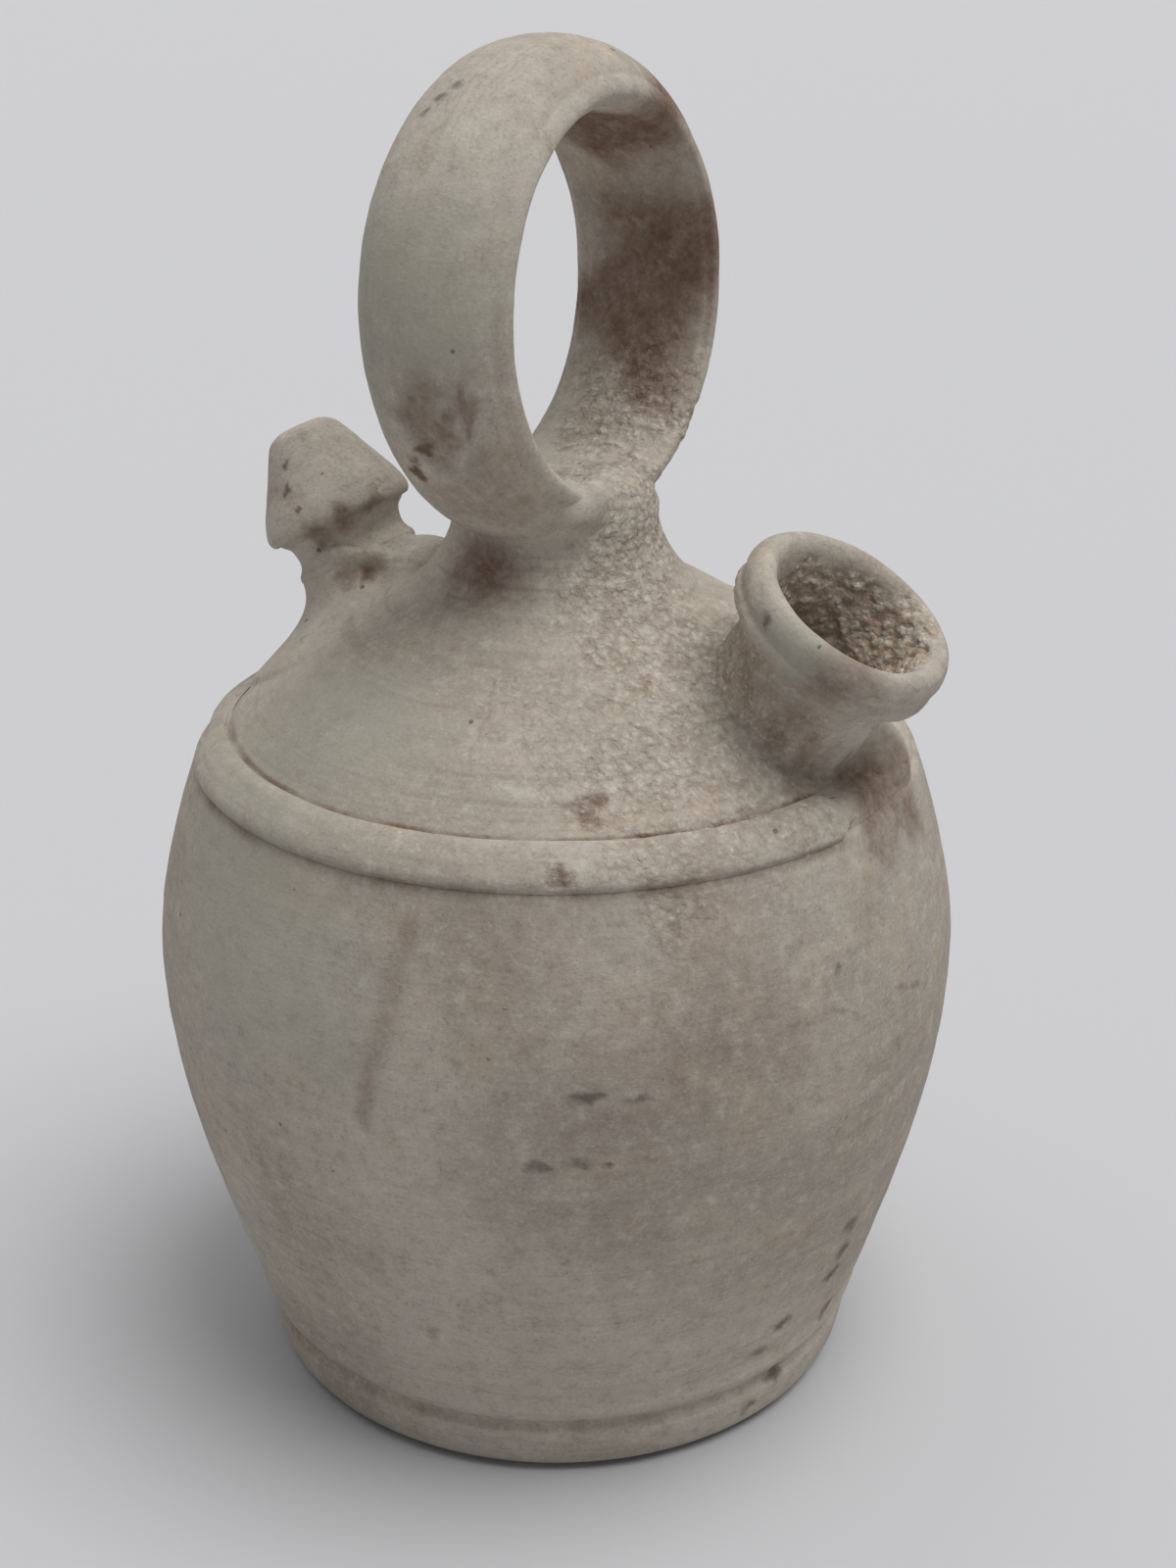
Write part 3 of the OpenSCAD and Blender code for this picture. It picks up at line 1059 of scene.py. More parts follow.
class WearAndShade:
    """All the marks on the jug, painted shade among them, from which each piece takes its own.

    Attributes:
        bowl: The middle of the mouth's bowl, in millimetres.
        spots: The patches of each mark.
        cracks: Hairlines, scratches and one drip, which take dirt.
        creases: Creases round the jug, which take dirt and painted shade.
    """

    bowl: Place = tuple(JUG.mouth_place() @ Vector((0.0025, 0.0015, -0.0105)) / MM)
    spots: dict[Mark, tuple[Spot, ...]] = {
        Mark.CRUST: (
            Spot((6, 24, 223), 24, 1.0, core=0.5),
            Spot((10, 4, 210), 19, 1.0, core=0.5),
            Spot((22, 0, 199), 22, 0.9, core=0.5),
            Spot((28, -16, 189), 22, 0.9, core=0.5),
            Spot((42, -10, 181), 30, 0.9, core=0.5),
            Spot((50, -32, 171), 30, 0.75, core=0.5),
            Spot((28, -44, 176), 26, 0.45, core=0.4),
            Spot((70, -28, 163), 22, 0.7, core=0.5),
            Spot((60, -52, 156), 24, 0.6, core=0.4),
            Spot((76, -34, 146), 18, 0.3),
            Spot(bowl, 20, 1.0, core=0.88, only="mouth_tube"),
            Spot((-45, -10, 188), 11, 0.45, core=0.4),
            Spot((-44, -4, 205), 4, 0.7),
            Spot((41, -54, 163), 7, 1.0),
            Spot((44, -70, 155), 5, 1.0),
        ),
        Mark.DIRT_AND_SHADE: (
            # Painted shadow: a soft dark patch on the stem where the ring above shades it.
            Spot((-3, -25, 198), 19, 0.72, (1.1, 1, 0.85), core=0.0, ragged=0.0),
            # Dirt with painted shade: darker under the mouth's rim, down its neck and in the hollow between
            # its foot and the cordon.
            Spot((57, -19, 182), 12, 0.35, core=0.1),
            Spot((66, -19, 172), 13, 0.4, core=0.2),
            Spot((70, -12, 163), 13, 0.42, core=0.3),
            Spot((79, 1, 157), 16, 0.62, (1, 1, 0.7), core=0.35, ragged=0.4),
            Spot((82, 10, 152), 18, 0.54, core=0.3),
            Spot((84, -3, 148), 12, 0.42, core=0.4, ragged=0.6),
            Spot((87, -14, 136), 11, 0.25),
            Spot((-43, -11, 186), 4, 0.65),
            Spot((-48, -13, 184), 5, 0.45),
            Spot((-55, -14, 195), 7, 0.55),
            Spot((-68, -12, 204), 16, 0.3),
            Spot((-49, -12, 198), 7, 0.55),
            Spot((-45, -6, 201), 5, 0.5),
            Spot((41, -54, 163), 7, 0.4),
            Spot((44, -70, 155), 4, 0.5),
            Spot((1, -50, 234), 14, 0.5, (0.8, 1, 1.3), core=0.2, ragged=0.7),
            Spot((-1, -48, 229), 4, 0.8),
            Spot((-5, -45, 226), 3, 0.6),
            Spot((5, -49, 235), 4, 0.6, (1, 1, 2)),
            Spot((-1, -52, 239), 3, 0.5),
            Spot((-6, -44, 222), 3.5, 0.8),
            Spot((10, -48, 238), 5, 0.5, (0.6, 1, 2.2)),
            Spot((6, -38, 218), 20, 0.3),
            Spot((10, 6, 211), 16, 0.15),
            Spot((4, 34, 250), 36, 0.66),
            Spot((4, 20, 284), 24, 0.7),
            Spot((-2, -30, 294), 34, 0.16),
            Spot((10, -6, 303), 16, 0.2),
            # Dirt with painted shade on the underside of the mouth's near rim.
            Spot((80, -21, 187), 15, 0.42, core=0.2),
            Spot((70, 19, 197), 16, 0.3),
            Spot((17, -79, 43), 4, 0.4, (0.6, 1, 1.4)),
            Spot((54, -71, 74), 22, 0.2),
            # Painted shade: broad darker patches over the middle of the belly's near side.
            Spot((68, -58, 120), 50, 0.3, core=0.2),
            Spot((42, -76, 132), 34, 0.26),
            Spot((38, -78, 60), 18, 0.18, (1, 1, 1.6)),
            Spot((81, -32, 68), 20, 0.16),
        ),
        Mark.SMUDGE: (
            Spot((-9.3, -32.7, 292), 2.6, 0.9, core=0.1),
            Spot((-7.4, -30, 295), 2.4, 0.8, core=0.1),
            Spot((-5, -27.5, 297.3), 2.8, 0.8, core=0.1),
            Spot((63.6, -22, 197), 3.2, 0.75, (0.7, 1, 1.2), core=0.1),
            Spot((76, -23, 187), 2.6, 0.55, (1.3, 1, 0.7), core=0.1),
            Spot((-65.6, -11.7, 208.3), 1.6, 0.9, (1, 1, 1.4), core=0.1),
            Spot((-62.9, -14.5, 203.6), 1.9, 0.95, (1, 1, 1.7), core=0.1),
            Spot((-58.4, -16.6, 200.2), 1.5, 0.9, core=0.1),
            Spot((53.5, -74.6, 110), 5, 0.95, (1.3, 1, 0.5), core=0.1),
            Spot((61.2, -68.4, 109.3), 4, 0.7, (1.3, 1, 0.5), core=0.1),
            Spot((44.7, -80, 94.6), 5, 0.8, (1.2, 1, 0.6), core=0.1),
            Spot((52, -75.4, 95), 5, 0.7, (1.2, 1, 0.6), core=0.1),
            Spot((56.6, -72, 94.7), 1.8, 1.0, core=0.1),
            Spot((85, -26.7, 126.5), 2.4, 0.8, core=0.1),
            Spot((73.5, -55, 110), 2, 0.5, core=0.1),
            Spot((83.5, -9.7, 54), 5, 0.8, (1, 1, 1.2), core=0.1),
            Spot((81.4, -8.5, 46), 4.5, 0.8, core=0.1),
            Spot((79.3, -10, 39.4), 5, 0.9, (1, 1, 0.8), core=0.1),
            Spot((75.2, -2.3, 24), 5, 0.8, core=0.1),
            Spot((74.2, -23.7, 32.8), 5, 0.8, (1, 1, 0.7), core=0.1),
            Spot((70.5, -28, 26), 5, 0.8, (1, 1, 0.7), core=0.1),
            Spot((69.4, -17.8, 13.8), 5, 0.9, (1, 1, 0.8), core=0.1),
            Spot((68.2, -25.9, 6.8), 5.5, 0.9, (0.8, 1, 0.8), core=0.1),
        ),
        Mark.LICHEN: (
            Spot((-4, -50, 262), 34, 0.8),
            Spot((-20, -62, 166), 38, 0.8),
            Spot((-24, -85, 132), 50, 0.7),
            Spot((72, -24, 194), 14, 0.9),
        ),
    }
    cracks: tuple[Crack, ...] = (
        Crack(((12, -43, 181), (14.3, -49.8, 176), (14.9, -55.5, 171.6), (16.1, -59.8, 168)), 1.0, 0.35),
        Crack(((70, -19.3, 175.5), (75, -17, 176.5), (79, -14, 177.5)), 0.8, 0.6),
        Crack(((65.3, -20, 183.5), (66.2, -20, 180.5)), 0.9, 0.8),
        Crack(((17, -83, 143), (14.5, -87.5, 128), (12, -91, 112), (10.4, -91.4, 100)), 5.0, 0.34),
        Crack(((80, -43, 118), (84.5, -33.3, 118.4), (87.6, -25, 117), (88.4, -23, 114.6)), 1.4, 0.4),
        Crack(((90.7, -10, 115.3), (91.2, -5, 114), (91.6, 2, 112)), 1.4, 0.4),
        Crack(((91.6, -8.4, 104), (91.5, -8, 99)), 1.4, 0.45),
    )
    # Dirt with painted shade in the cordon's upper crease; painted shade under the roll, in the foot's
    # groove and along the base's edge on the floor.
    creases: tuple[Crease, ...] = (
        Crease(JUG.crease, 1.6, 0.75),
        Crease((82.4, 150.3), 2.6, 0.45),
        Crease((71.5, 14.4), 4.0, 0.35),
        Crease((67.0, 0.5), 3.0, 0.6),
    )

    @classmethod
    def on(cls, piece: bpy.types.Object, name: str) -> np.ndarray:
        """The four marks on each vertex of a piece.

        Args:
            piece: The piece, in its place.
            name: Name of its node.

        Returns:
            One row of four values a vertex.
        """
        places = Bench.places(piece)
        wear_and_shade = np.zeros((len(places), len(Mark)))
        for mark, spots in cls.spots.items():
            lines = cls.cracks + cls.creases if mark is Mark.DIRT_AND_SHADE else ()
            for patch in (*(s for s in spots if name.startswith(s.only)), *lines):
                wear_and_shade[:, mark.value] = np.maximum(wear_and_shade[:, mark.value], patch.cover(places))
        return wear_and_shade


@dataclass
class Piece:
    """What every clay piece shares: its node, its slot and its finish.

    Attributes:
        node: Node of the frame that the piece replaces.
        slot: Material slot of the record; not used.
        finish: Its clay.
        also: Further nodes that it replaces.
        touch: The unevenness that is pressed into it.
        crisp_deg: Bend above which an edge stays crisp.
    """

    node: str
    slot: str
    finish: Earthenware
    also: tuple[str, ...] = ()
    touch: HandTouch = HandTouch()
    crisp_deg: float = 55.0

    def dress(self, piece: bpy.types.Object, held: np.ndarray | None = None) -> None:
        """Weather a piece and lay on its painted shade, give it its clay, hang it on its body and note it
        down.

        Args:
            piece: The modelled piece.
            held: How freely each vertex may move, or None for all alike.
        """
        wear_and_shade = WearAndShade.on(piece, self.node)
        self.touch.work(piece, wear_and_shade[:, Mark.CRUST.value], held)
        piece.name = self.node + "_clay"
        piece.data.name = piece.name
        layer = piece.data.color_attributes.new("wear_and_shade", "FLOAT_COLOR", "POINT")
        layer.data.foreach_set("color", wear_and_shade.astype(np.float32).ravel())
        Bench.pick(piece)
        bpy.ops.object.shade_smooth_by_angle(angle=math.radians(self.crisp_deg))
        piece.data.materials.clear()
        piece.data.materials.append(self.finish.make())
        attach(piece, "root")
        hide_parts(self.node, *self.also)
        LOG.info("%s: %d faces", piece.name, len(piece.data.polygons))


@dataclass
class Thrown(Piece):
    """A piece that is thrown on the wheel: one outline spun round its own axis.

    Attributes:
        steps: Number of steps round the axis.
    """

    steps: int = 400

    def outline(self) -> list[Point]:
        """Closed outline of the wall, as radius and height along the axis."""
        raise NotImplementedError

    def place(self) -> Matrix | None:
        """Where the thrown piece goes, or None where it stays upright in the jug's middle."""
        return None

    def throw(self) -> bpy.types.Object:
        """Throw the piece and put it in its place."""
        return Bench.turned(self.node, self.outline(), self.steps, self.place())

    def build(self) -> None:
        """Throw the piece and dress it."""
        self.dress(self.throw())


@dataclass
class BellyPot(Thrown):
    """The thrown pot: flat base, foot band with its groove, belly and hidden rim.

    Attributes:
        base_r: Radius of its base.
        foot: Outline of the foot band, its groove and the turn into the wall.
        wall_from: Height from which the wall follows the jug's outline.
        lip: The rim under the dome.
        floor: Upper side of the floor.
    """

    base_r: float = 65.0
    foot: tuple[Point, ...] = (
        (65.2, 0), (66.3, 0.5), (68.0, 1.5), (69.5, 2.9), (70.5, 4.8), (71.1, 7.0), (71.6, 9.6),
        (71.8, 11.8), (71.3, 13.5), (71.1, 14.6), (71.9, 16.0), (73.3, 17.6), (74.1, 19.4),
        (74.2, 21.4), (74.5, 23.4), (75.2, 25.6),
    )
    wall_from: float = 27.5
    lip: tuple[Point, ...] = ((80.6, 151.6), (78.7, 152.0))
    floor: tuple[Point, ...] = ((65.1, 11.0), (60.1, 8.0), (0, 8.0))

    def outline(self) -> list[Point]:
        """Closed outline of the pot's wall and floor.

        Returns:
            The outline's points.
        """
        under = straight([(0, 0), (self.base_r, 0)], step=9.0)
        wall = [p for p in JUG.wall_line(step=0.85) if p[1] > self.wall_from]
        lip = [*self.lip, (JUG.rim[0] - JUG.wall, self.lip[-1][1])]
        inside = [(r - JUG.wall, z) for r, z in reversed(JUG.wall_line(step=6.0))]
        return [*under, *through(self.foot, step=0.7), *wall, *lip, *inside, *self.floor]

    def build(self) -> None:
        """Throw the pot and dress it, with its base kept flat."""
        piece = self.throw()
        self.dress(piece, ease(Bench.places(piece)[:, 2], 0.5, 7.0))


@dataclass
class ShoulderDome(Thrown):
    """The closed shoulder, with the holes under the mouth and the spout.

    Attributes:
        mouth_hole, spout_hole: Radii of the two holes.
        foot: Its flat foot on the pot's rim.
        roof_r: Radius of the flat middle, hidden under the stem.
        tuck: How far it draws back under the stem with each step, inwards and down.
        inward: Way from its outside to its inside, as shares of its wall.
    """

    mouth_hole: float = 15.2
    spout_hole: float = 8.2
    foot: tuple[Point, ...] = ((75.5, 152.0), (78.7, 152.0))
    roof_r: float = 20.0
    tuck: Point = (0.35, 0.25)
    inward: Point = (0.63, 0.77)

    def outline(self) -> list[Point]:
        """Closed outline of the dome's wall, tucked under the stem at its top.

        Returns:
            The outline's points.
        """
        low = enumerate(JUG.stem_line(step=0.9)[1:7], 1)
        tucked = [(r - self.tuck[0] * k, z - self.tuck[1] * k) for k, (r, z) in low]
        ceiling = JUG.seat[1] - JUG.dome_wall
        roof = [(self.roof_r, JUG.seat[1]), (0, JUG.seat[1]), (0, ceiling)]
        back, down = (share * JUG.dome_wall for share in self.inward)
        inner = [(r - back, z - down) for r, z in JUG.dome_line(step=4.0) if z - down < ceiling]
        return [*self.foot, *JUG.dome_line(step=0.65), *tucked, *roof, *reversed(inner), self.foot[0]]

    def build(self) -> None:
        """Throw the dome, cut its two holes and dress it."""
        piece = self.throw()
        for radius, place in ((self.mouth_hole, JUG.mouth_place()), (self.spout_hole, JUG.spout_place())):
            Bench.drill(piece, radius, place)
        self.dress(piece)


@dataclass
class ShoulderCordon(Thrown):
    """The roll of clay over the joint of pot and dome, pressed flat where it is smeared over.

    Attributes:
        bulge: How far it stands out between its two creases.
        squareness: Power that makes its round back, 1 for an ellipse and less for a squarer one.
        low_edge: Its lower edge, inside the pot's wall.
        back: Its hidden side.
        roll_steps: Number of steps over its back.
    """

    bulge: float = 3.1
    squareness: float = 0.75
    low_edge: Point = (80.4, 148.6)
    back: tuple[Point, ...] = ((71.2, 158.1), (76.5, 153.0))
    roll_steps: int = 26

    def outline(self) -> list[Point]:
        """Closed outline of the roll, whose two edges run under the clay beside them.

        Returns:
            The outline's points.
        """
        low, high = Vector(JUG.rim), Vector(JUG.crease)
        middle, along = (low + high) / 2, (high - low) / 2
        out = Vector((along[1], -along[0])).normalized()
        roll = [self.low_edge]
        for k in range(self.roll_steps + 1):
            turn = math.pi * k / self.roll_steps
            swell = abs(math.sin(turn)) ** self.squareness
            roll.append(tuple(middle - along * math.cos(turn) + out * self.bulge * swell))
        return [*roll, *self.back, self.low_edge]

    def build(self) -> None:
        """Roll the cordon, press it flat where it is smeared over, and dress it."""
        piece = self.throw()
        Bench.weigh(piece, "pressed", smeared_over(Bench.places(piece)))
        Bench.modify(piece, "DISPLACE", strength=-self.bulge * MM, mid_level=0.0, vertex_group="pressed")
        piece.vertex_groups.clear()
        self.dress(piece)


@dataclass
class HandleStem(Thrown):
    """The flared stub that carries the ring.

    Attributes:
        under: Its underside, inside the dome.
        edge: How far beyond the seat its thin lower edge runs, point by point.
        droop: How much that edge sinks into the dome.
        top: Its top, inside the ring and the saddle.
    """

    under: tuple[Point, ...] = ((0, 183.0), (34.0, 183.0))
    edge: tuple[float, ...] = (3.0, 1.5)
    droop: float = 0.08
    top: tuple[Point, ...] = ((23.1, 206.5), (22.6, 208.0), (21.4, 208.4), (0, 208.4))

    def outline(self) -> list[Point]:
        """Closed outline of the stem, whose lower edge runs out thin on the dome.

        Returns:
            The outline's points.
        """
        (r, z), (across, up) = JUG.seat, JUG.seat_run
        edge = [(r - across * k, z - up * k - self.droop * k * k) for k in self.edge]
        return [*self.under, *edge, *JUG.slim_stem_line(step=0.7), *self.top]


@dataclass
class HandleRing(Thrown):
    """The thrown ring: rounded back, nearly flat inside, lips with a fine ridge.

    Attributes:
        half: Half its section from the back over a lip to the inside, as radius and place along
            its axis.
    """

    touch: HandTouch = HandTouch(crumb=0.6)
    half: tuple[Point, ...] = (
        (53.2, 0), (52.9, 4.0), (52.0, 8.0), (50.3, 11.6), (48.0, 14.4), (46.2, 15.8), (45.6, 16.0),
        (44.9, 16.9), (43.8, 17.8), (42.4, 18.3), (41.2, 18.2), (40.5, 17.5), (40.3, 16.8), (39.8, 16.4),
        (39.2, 15.9), (38.9, 14.9), (38.7, 13.4), (38.2, 10.8), (37.7, 6.6), (37.5, 3.0), (37.5, 0),
    )

    def outline(self) -> list[Point]:
        """Closed outline of the ring's section, as radius and place along its axis."""
        return through(both_sides(self.half), step=0.6)

    def place(self) -> Matrix:
        """The ring's frame."""
        return JUG.ring_place()


@dataclass(frozen=True)
class Lump:
    """A lump of clay that is pressed on by hand: an ellipsoid, in millimetres.

    Attributes:
        name: What it is.
        at: Its centre.
        radii: Its three radii.
    """

    name: str
    at: Place
    radii: Place


@dataclass
class Luting(Piece):
    """Luting clay, pressed into the creases between the pieces that it joins.

    Attributes:
        rounds: How often it is smoothed with the finger.
        sink: How far its skin sinks under its neighbours away from the creases, in millimetres.
        grain: Size of its facets, in millimetres.
        lumps: Lumps that are pressed on.
        lump_steps: Number of steps round a turned lump.
    """

    rounds: int = 16
    sink: float = 0.25
    grain: float = 0.8
    lumps: tuple[Lump, ...] = ()
    lump_steps: int = 160

    def pressed_on(self) -> list[bpy.types.Object]:
        """The lumps as pieces, before they are pressed into one mass."""
        return [Bench.ball(lump.name, lump.at, lump.radii) for lump in self.lumps]

    def lute(self, parts: list[bpy.types.Object]) -> bpy.types.Object:
        """Press overlapping parts into one mass of luting clay.

        Args:
            parts: The parts.

        Returns:
            The mass, under the node's name.
        """
        mass = Bench.weld(parts, self.grain, self.rounds)
        mass.name = self.node
        Bench.modify(mass, "DISPLACE", strength=-self.sink * MM, mid_level=0.0, direction="NORMAL")
        return mass


@dataclass
class HandleSaddle(Luting):
    """The luting clay between the stem and the ring, built up on the mouth's side.

    Attributes:
        under, top: Underside and top of the lump round the stem.
        half: Half the section of the lump in the ring's place.
        ring_steps: Number of steps round that lump.
        ring_cut: Height at which that lump is cut off.
        highest, lowest: Heights between which the clay lies.
    """

    touch: HandTouch = HandTouch(crumb=0.6)
    rounds: int = 22
    lumps: tuple[Lump, ...] = (
        Lump("built_up", (14, 0, 207), (9, 15, 9.5)),
        Lump("lip_end", (15.5, -12.5, 211), (5.0, 10.5, 6.0)),
        Lump("bank", (27, 12, 182), (16, 17, 7.2)),
    )
    under: tuple[Point, ...] = ((0, 176.0), (52.0, 176.0))
    top: tuple[Point, ...] = ((23.1, 208), (22, 209), (0, 209))
    half: tuple[Point, ...] = (
        (53.0, 0), (52, 8), (48, 14.2), (44.9, 16.7), (42.4, 18.1), (40.3, 16.8), (38.7, 13.0), (37.6, 0),
    )
    ring_steps: int = 220
    ring_cut: float = 226.0
    highest: float = 222.0
    lowest: float = 178.0

    def build(self) -> None:
        """Press the clay round the ring's foot and dress it."""
        dome = [p for p in JUG.dome_line(step=3.0)[:-1] if p[1] > self.under[0][1] + 0.5]
        outline = [*self.under, *dome, *JUG.slim_stem_line(step=2.0), *self.top]
        stem = Bench.turned("stem_lump", outline, self.lump_steps)
        round_section = through(both_sides(self.half), step=1.5)
        ring = Bench.turned("ring_lump", round_section, self.ring_steps, JUG.ring_place())
        Bench.cut_flat(ring, (0, 0, self.ring_cut), (0, 0, 1))
        piece = self.lute([stem, ring, *self.pressed_on()])
        Bench.cut_flat(piece, (0, 0, self.highest), (0, 0, 1))
        Bench.cut_flat(piece, (0, 0, self.lowest), (0, 0, -1))
        self.dress(piece)


@dataclass
class FootLuting(Luting):
    """Luting clay round the foot of the mouth or the spout, over the shoulder.

    Attributes:
        side: The side that the neck stands on.
        neck: Outline of the clay that clings to the neck, in the neck's own frame.
        bore_r: Radius of the hole through it.
        lowest: Height at which it ends.
        nearest: How near it comes to the jug's axis.
        half_width: Half its width.
        belly: The outline of the shoulder's lump below the cordon.
        roll: Its outline across the cordon.
        lump_near: How near that lump comes to the jug's axis.
        lump_half: Half its width.
        shoulder_steps: Number of steps round it.
    """

    side: Side = Side.MOUTH
    neck: tuple[Point, ...] = ((0, -14), (18.6, -14), (18.6, -45), (0, -45))
    bore_r: float = 16.5
    lowest: float = 131.0
    nearest: float = 28.0
    half_width: float = 35.0
    belly: tuple[Point, ...] = ((0, 118), (91.2, 118), *JUG.wall_line(step=6.0)[-6:-1])
    roll: tuple[Point, ...] = ((81.4, 151.0), (79.0, 153.0), (76.0, 155.6), JUG.crease)
    lump_near: float = 22.0
    lump_half: float = 42.0
    shoulder_steps: int = 200

    def shoulder_lump(self) -> bpy.types.Object:
        """The shoulder round the foot, as a closed lump that is cut a little wider than the clay.

        Returns:
            The lump.
        """
        outline = [*self.belly, *self.roll, *JUG.dome_line(step=4.0)[1:], (0, JUG.seat[1])]
        lump = Bench.turned("shoulder_lump", outline, self.shoulder_steps)
        Bench.cut_flat(lump, (self.side.value * self.lump_near, 0, 0), (-self.side.value, 0, 0))
        Bench.trim_sides(lump, self.lump_half)
        return lump

    def build(self) -> None:
        """Press the clay round the foot, cut it free and dress it."""
        place = JUG.mouth_place() if self.side is Side.MOUTH else JUG.spout_place()
        neck = Bench.turned("neck_lump", self.neck, self.lump_steps, place)
        lumps = self.pressed_on()
        piece = self.lute([self.shoulder_lump(), neck, *lumps])
        Bench.drill(piece, self.bore_r, place)
        Bench.cut_flat(piece, (0, 0, self.lowest), (0, 0, -1))
        Bench.cut_flat(piece, (self.side.value * self.nearest, 0, 0), (-self.side.value, 0, 0))
        Bench.trim_sides(piece, self.half_width)
        self.dress(piece)


@dataclass
class MouthTube(Thrown):
    """The filling mouth: rolled rim with a faint groove, short neck, crusted bowl and throat.

    Attributes:
        rim: Outline from the bowl over the rolled rim and its groove to the neck.
        neck_foot: Foot of the neck, inside the dome.
        throat: Outline of the throat from the foot up to the bowl.
    """

    touch: HandTouch = HandTouch(crumb=1.0, crumb_size=2.4, lump=2.0, lump_size=3.6)
    rim: tuple[Point, ...] = (
        (14.0, -17.0), (14.2, -14.0), (14.9, -10.5), (15.7, -7.0), (16.7, -3.8), (18.1, -1.0), (19.9, 0.4),
        (21.7, 0.5), (23.3, -0.7), (24.2, -2.8), (24.3, -4.6), (23.8, -5.9), (23.6, -6.5), (24.1, -7.6),
        (23.8, -9.8), (22.7, -11.2), (20.9, -12.4), (19.3, -14.0), (18.6, -16.5), (18.5, -20.0),
    )
    neck_foot: Point = (18.5, -36.0)
    throat: tuple[Point, ...] = ((15.0, -36.0), (15.0, -26.0), (14.0, -24.0), (14.0, -17.0))

    def outline(self) -> list[Point]:
        """Closed outline of the mouth's wall, as radius and height below the rim's top."""
        neck = straight([self.rim[-1], self.neck_foot], step=1.2)
        return through(self.rim, step=0.5) + neck[1:] + straight(self.throat, step=0.7)

    def place(self) -> Matrix:
        """The mouth's frame."""
        return JUG.mouth_place()


@dataclass
class MouthLuting(FootLuting):
    """The clay at the mouth's foot, with the tongue that is smeared over the cordon."""

    rounds: int = 12
    sink: float = 0.3
    lumps: tuple[Lump, ...] = (
        Lump("tongue", (72.0, 15, 151), (8.2, 11.5, 14.5)),
        Lump("bridge", (69.0, 12, 162.5), (6.2, 8, 7.2)),
    )


@dataclass
class SpoutNeck(Thrown):
    """The ribbed neck of the spout, flared under the nozzle.

    Attributes:
        ribs: Outline of the flare and the ribs.
        hidden: The rest: the foot inside the dome, the bore and the seat.
    """

    touch: HandTouch = HandTouch(dent=0.8)
    ribs: tuple[Point, ...] = (
        (16.2, 1.0), (15.2, -0.3), (14.0, -1.4), (13.4, -3.2), (13.3, -5.2), (13.8, -6.6), (14.6, -7.8),
        (14.7, -9.2), (14.1, -10.4), (14.0, -11.4), (14.6, -12.8), (15.0, -15.0), (15.0, -18.0),
    )
    hidden: tuple[Point, ...] = ((15.0, -30.0), (8.2, -30.0), (8.2, 1.0), (16.2, 1.0))

    def outline(self) -> list[Point]:
        """Closed outline of the neck's wall, as radius and height from the nozzle's seat."""
        return through(self.ribs, step=0.5) + straight(self.hidden, step=3.0)

    def place(self) -> Matrix:
        """The spout's frame."""
        return JUG.spout_place()


@dataclass
class SpoutNozzle(Thrown):
    """The blunt cone of the spout, undercut below, with the drinking hole in its tip.

    Attributes:
        cone: Outline from the undercut over the cone to the hole's edge.
        bore: The hole, then the wider bore down to the seat.
    """

    touch: HandTouch = HandTouch(dent=0.6)
    cone: tuple[Point, ...] = (
        (14.0, 0.9), (15.8, 0.2), (17.0, 0.4), (17.8, 1.6), (17.9, 3.2), (17.0, 6.2), (15.2, 10.0),
        (12.6, 15.2), (10.2, 20.0), (8.4, 22.8), (6.0, 24.3), (3.8, 24.8), (2.4, 24.6), (1.75, 23.6),
    )
    bore: tuple[Point, ...] = ((1.75, 23.6), (1.75, 15.0), (8.2, 2.0), (8.2, 0.9), (14.0, 0.9))

    def outline(self) -> list[Point]:
        """Closed outline of the nozzle's wall, as radius and height from its seat."""
        return through(self.cone, step=0.5) + straight(self.bore, step=2.0)[1:]

    def place(self) -> Matrix:
        """The spout's frame."""
        return JUG.spout_place()


@dataclass
class SpoutLuting(FootLuting):
    """The clay at the spout's foot, drawn over towards the stem."""

    side: Side = Side.SPOUT
    neck: tuple[Point, ...] = (
        (0, -7), (13.9, -7), (14.9, -8.5), (14.8, -10.5), (15.4, -12.6), (17.2, -15.2), (20, -17.4),
        (24, -19.5), (29, -21.6), (35, -24.2), (35, -40), (0, -40),
    )
    bore_r: float = 11.0
    lowest: float = 152.0
    nearest: float = 26.0
    half_width: float = 38.0
    lumps: tuple[Lump, ...] = (
        Lump("web", (-36, 0, 185), (11, 12, 8.5)),
        Lump("bead", (-50, -11.6, 190), (4.5, 3.2, 2.8)),
        Lump("bead", (-43.5, -9.5, 190.5), (4.2, 3.2, 2.6)),
    )


@dataclass(frozen=True)
class Lamp:
    """A wide soft lamp that shines on the jug's foot.

    Attributes:
        name: What it stands for.
        at: Where it shines from, in metres.
        strength: How bright it is.
        width: How wide it looks, in degrees.
    """

    name: str
    at: Place
    strength: float
    width: float


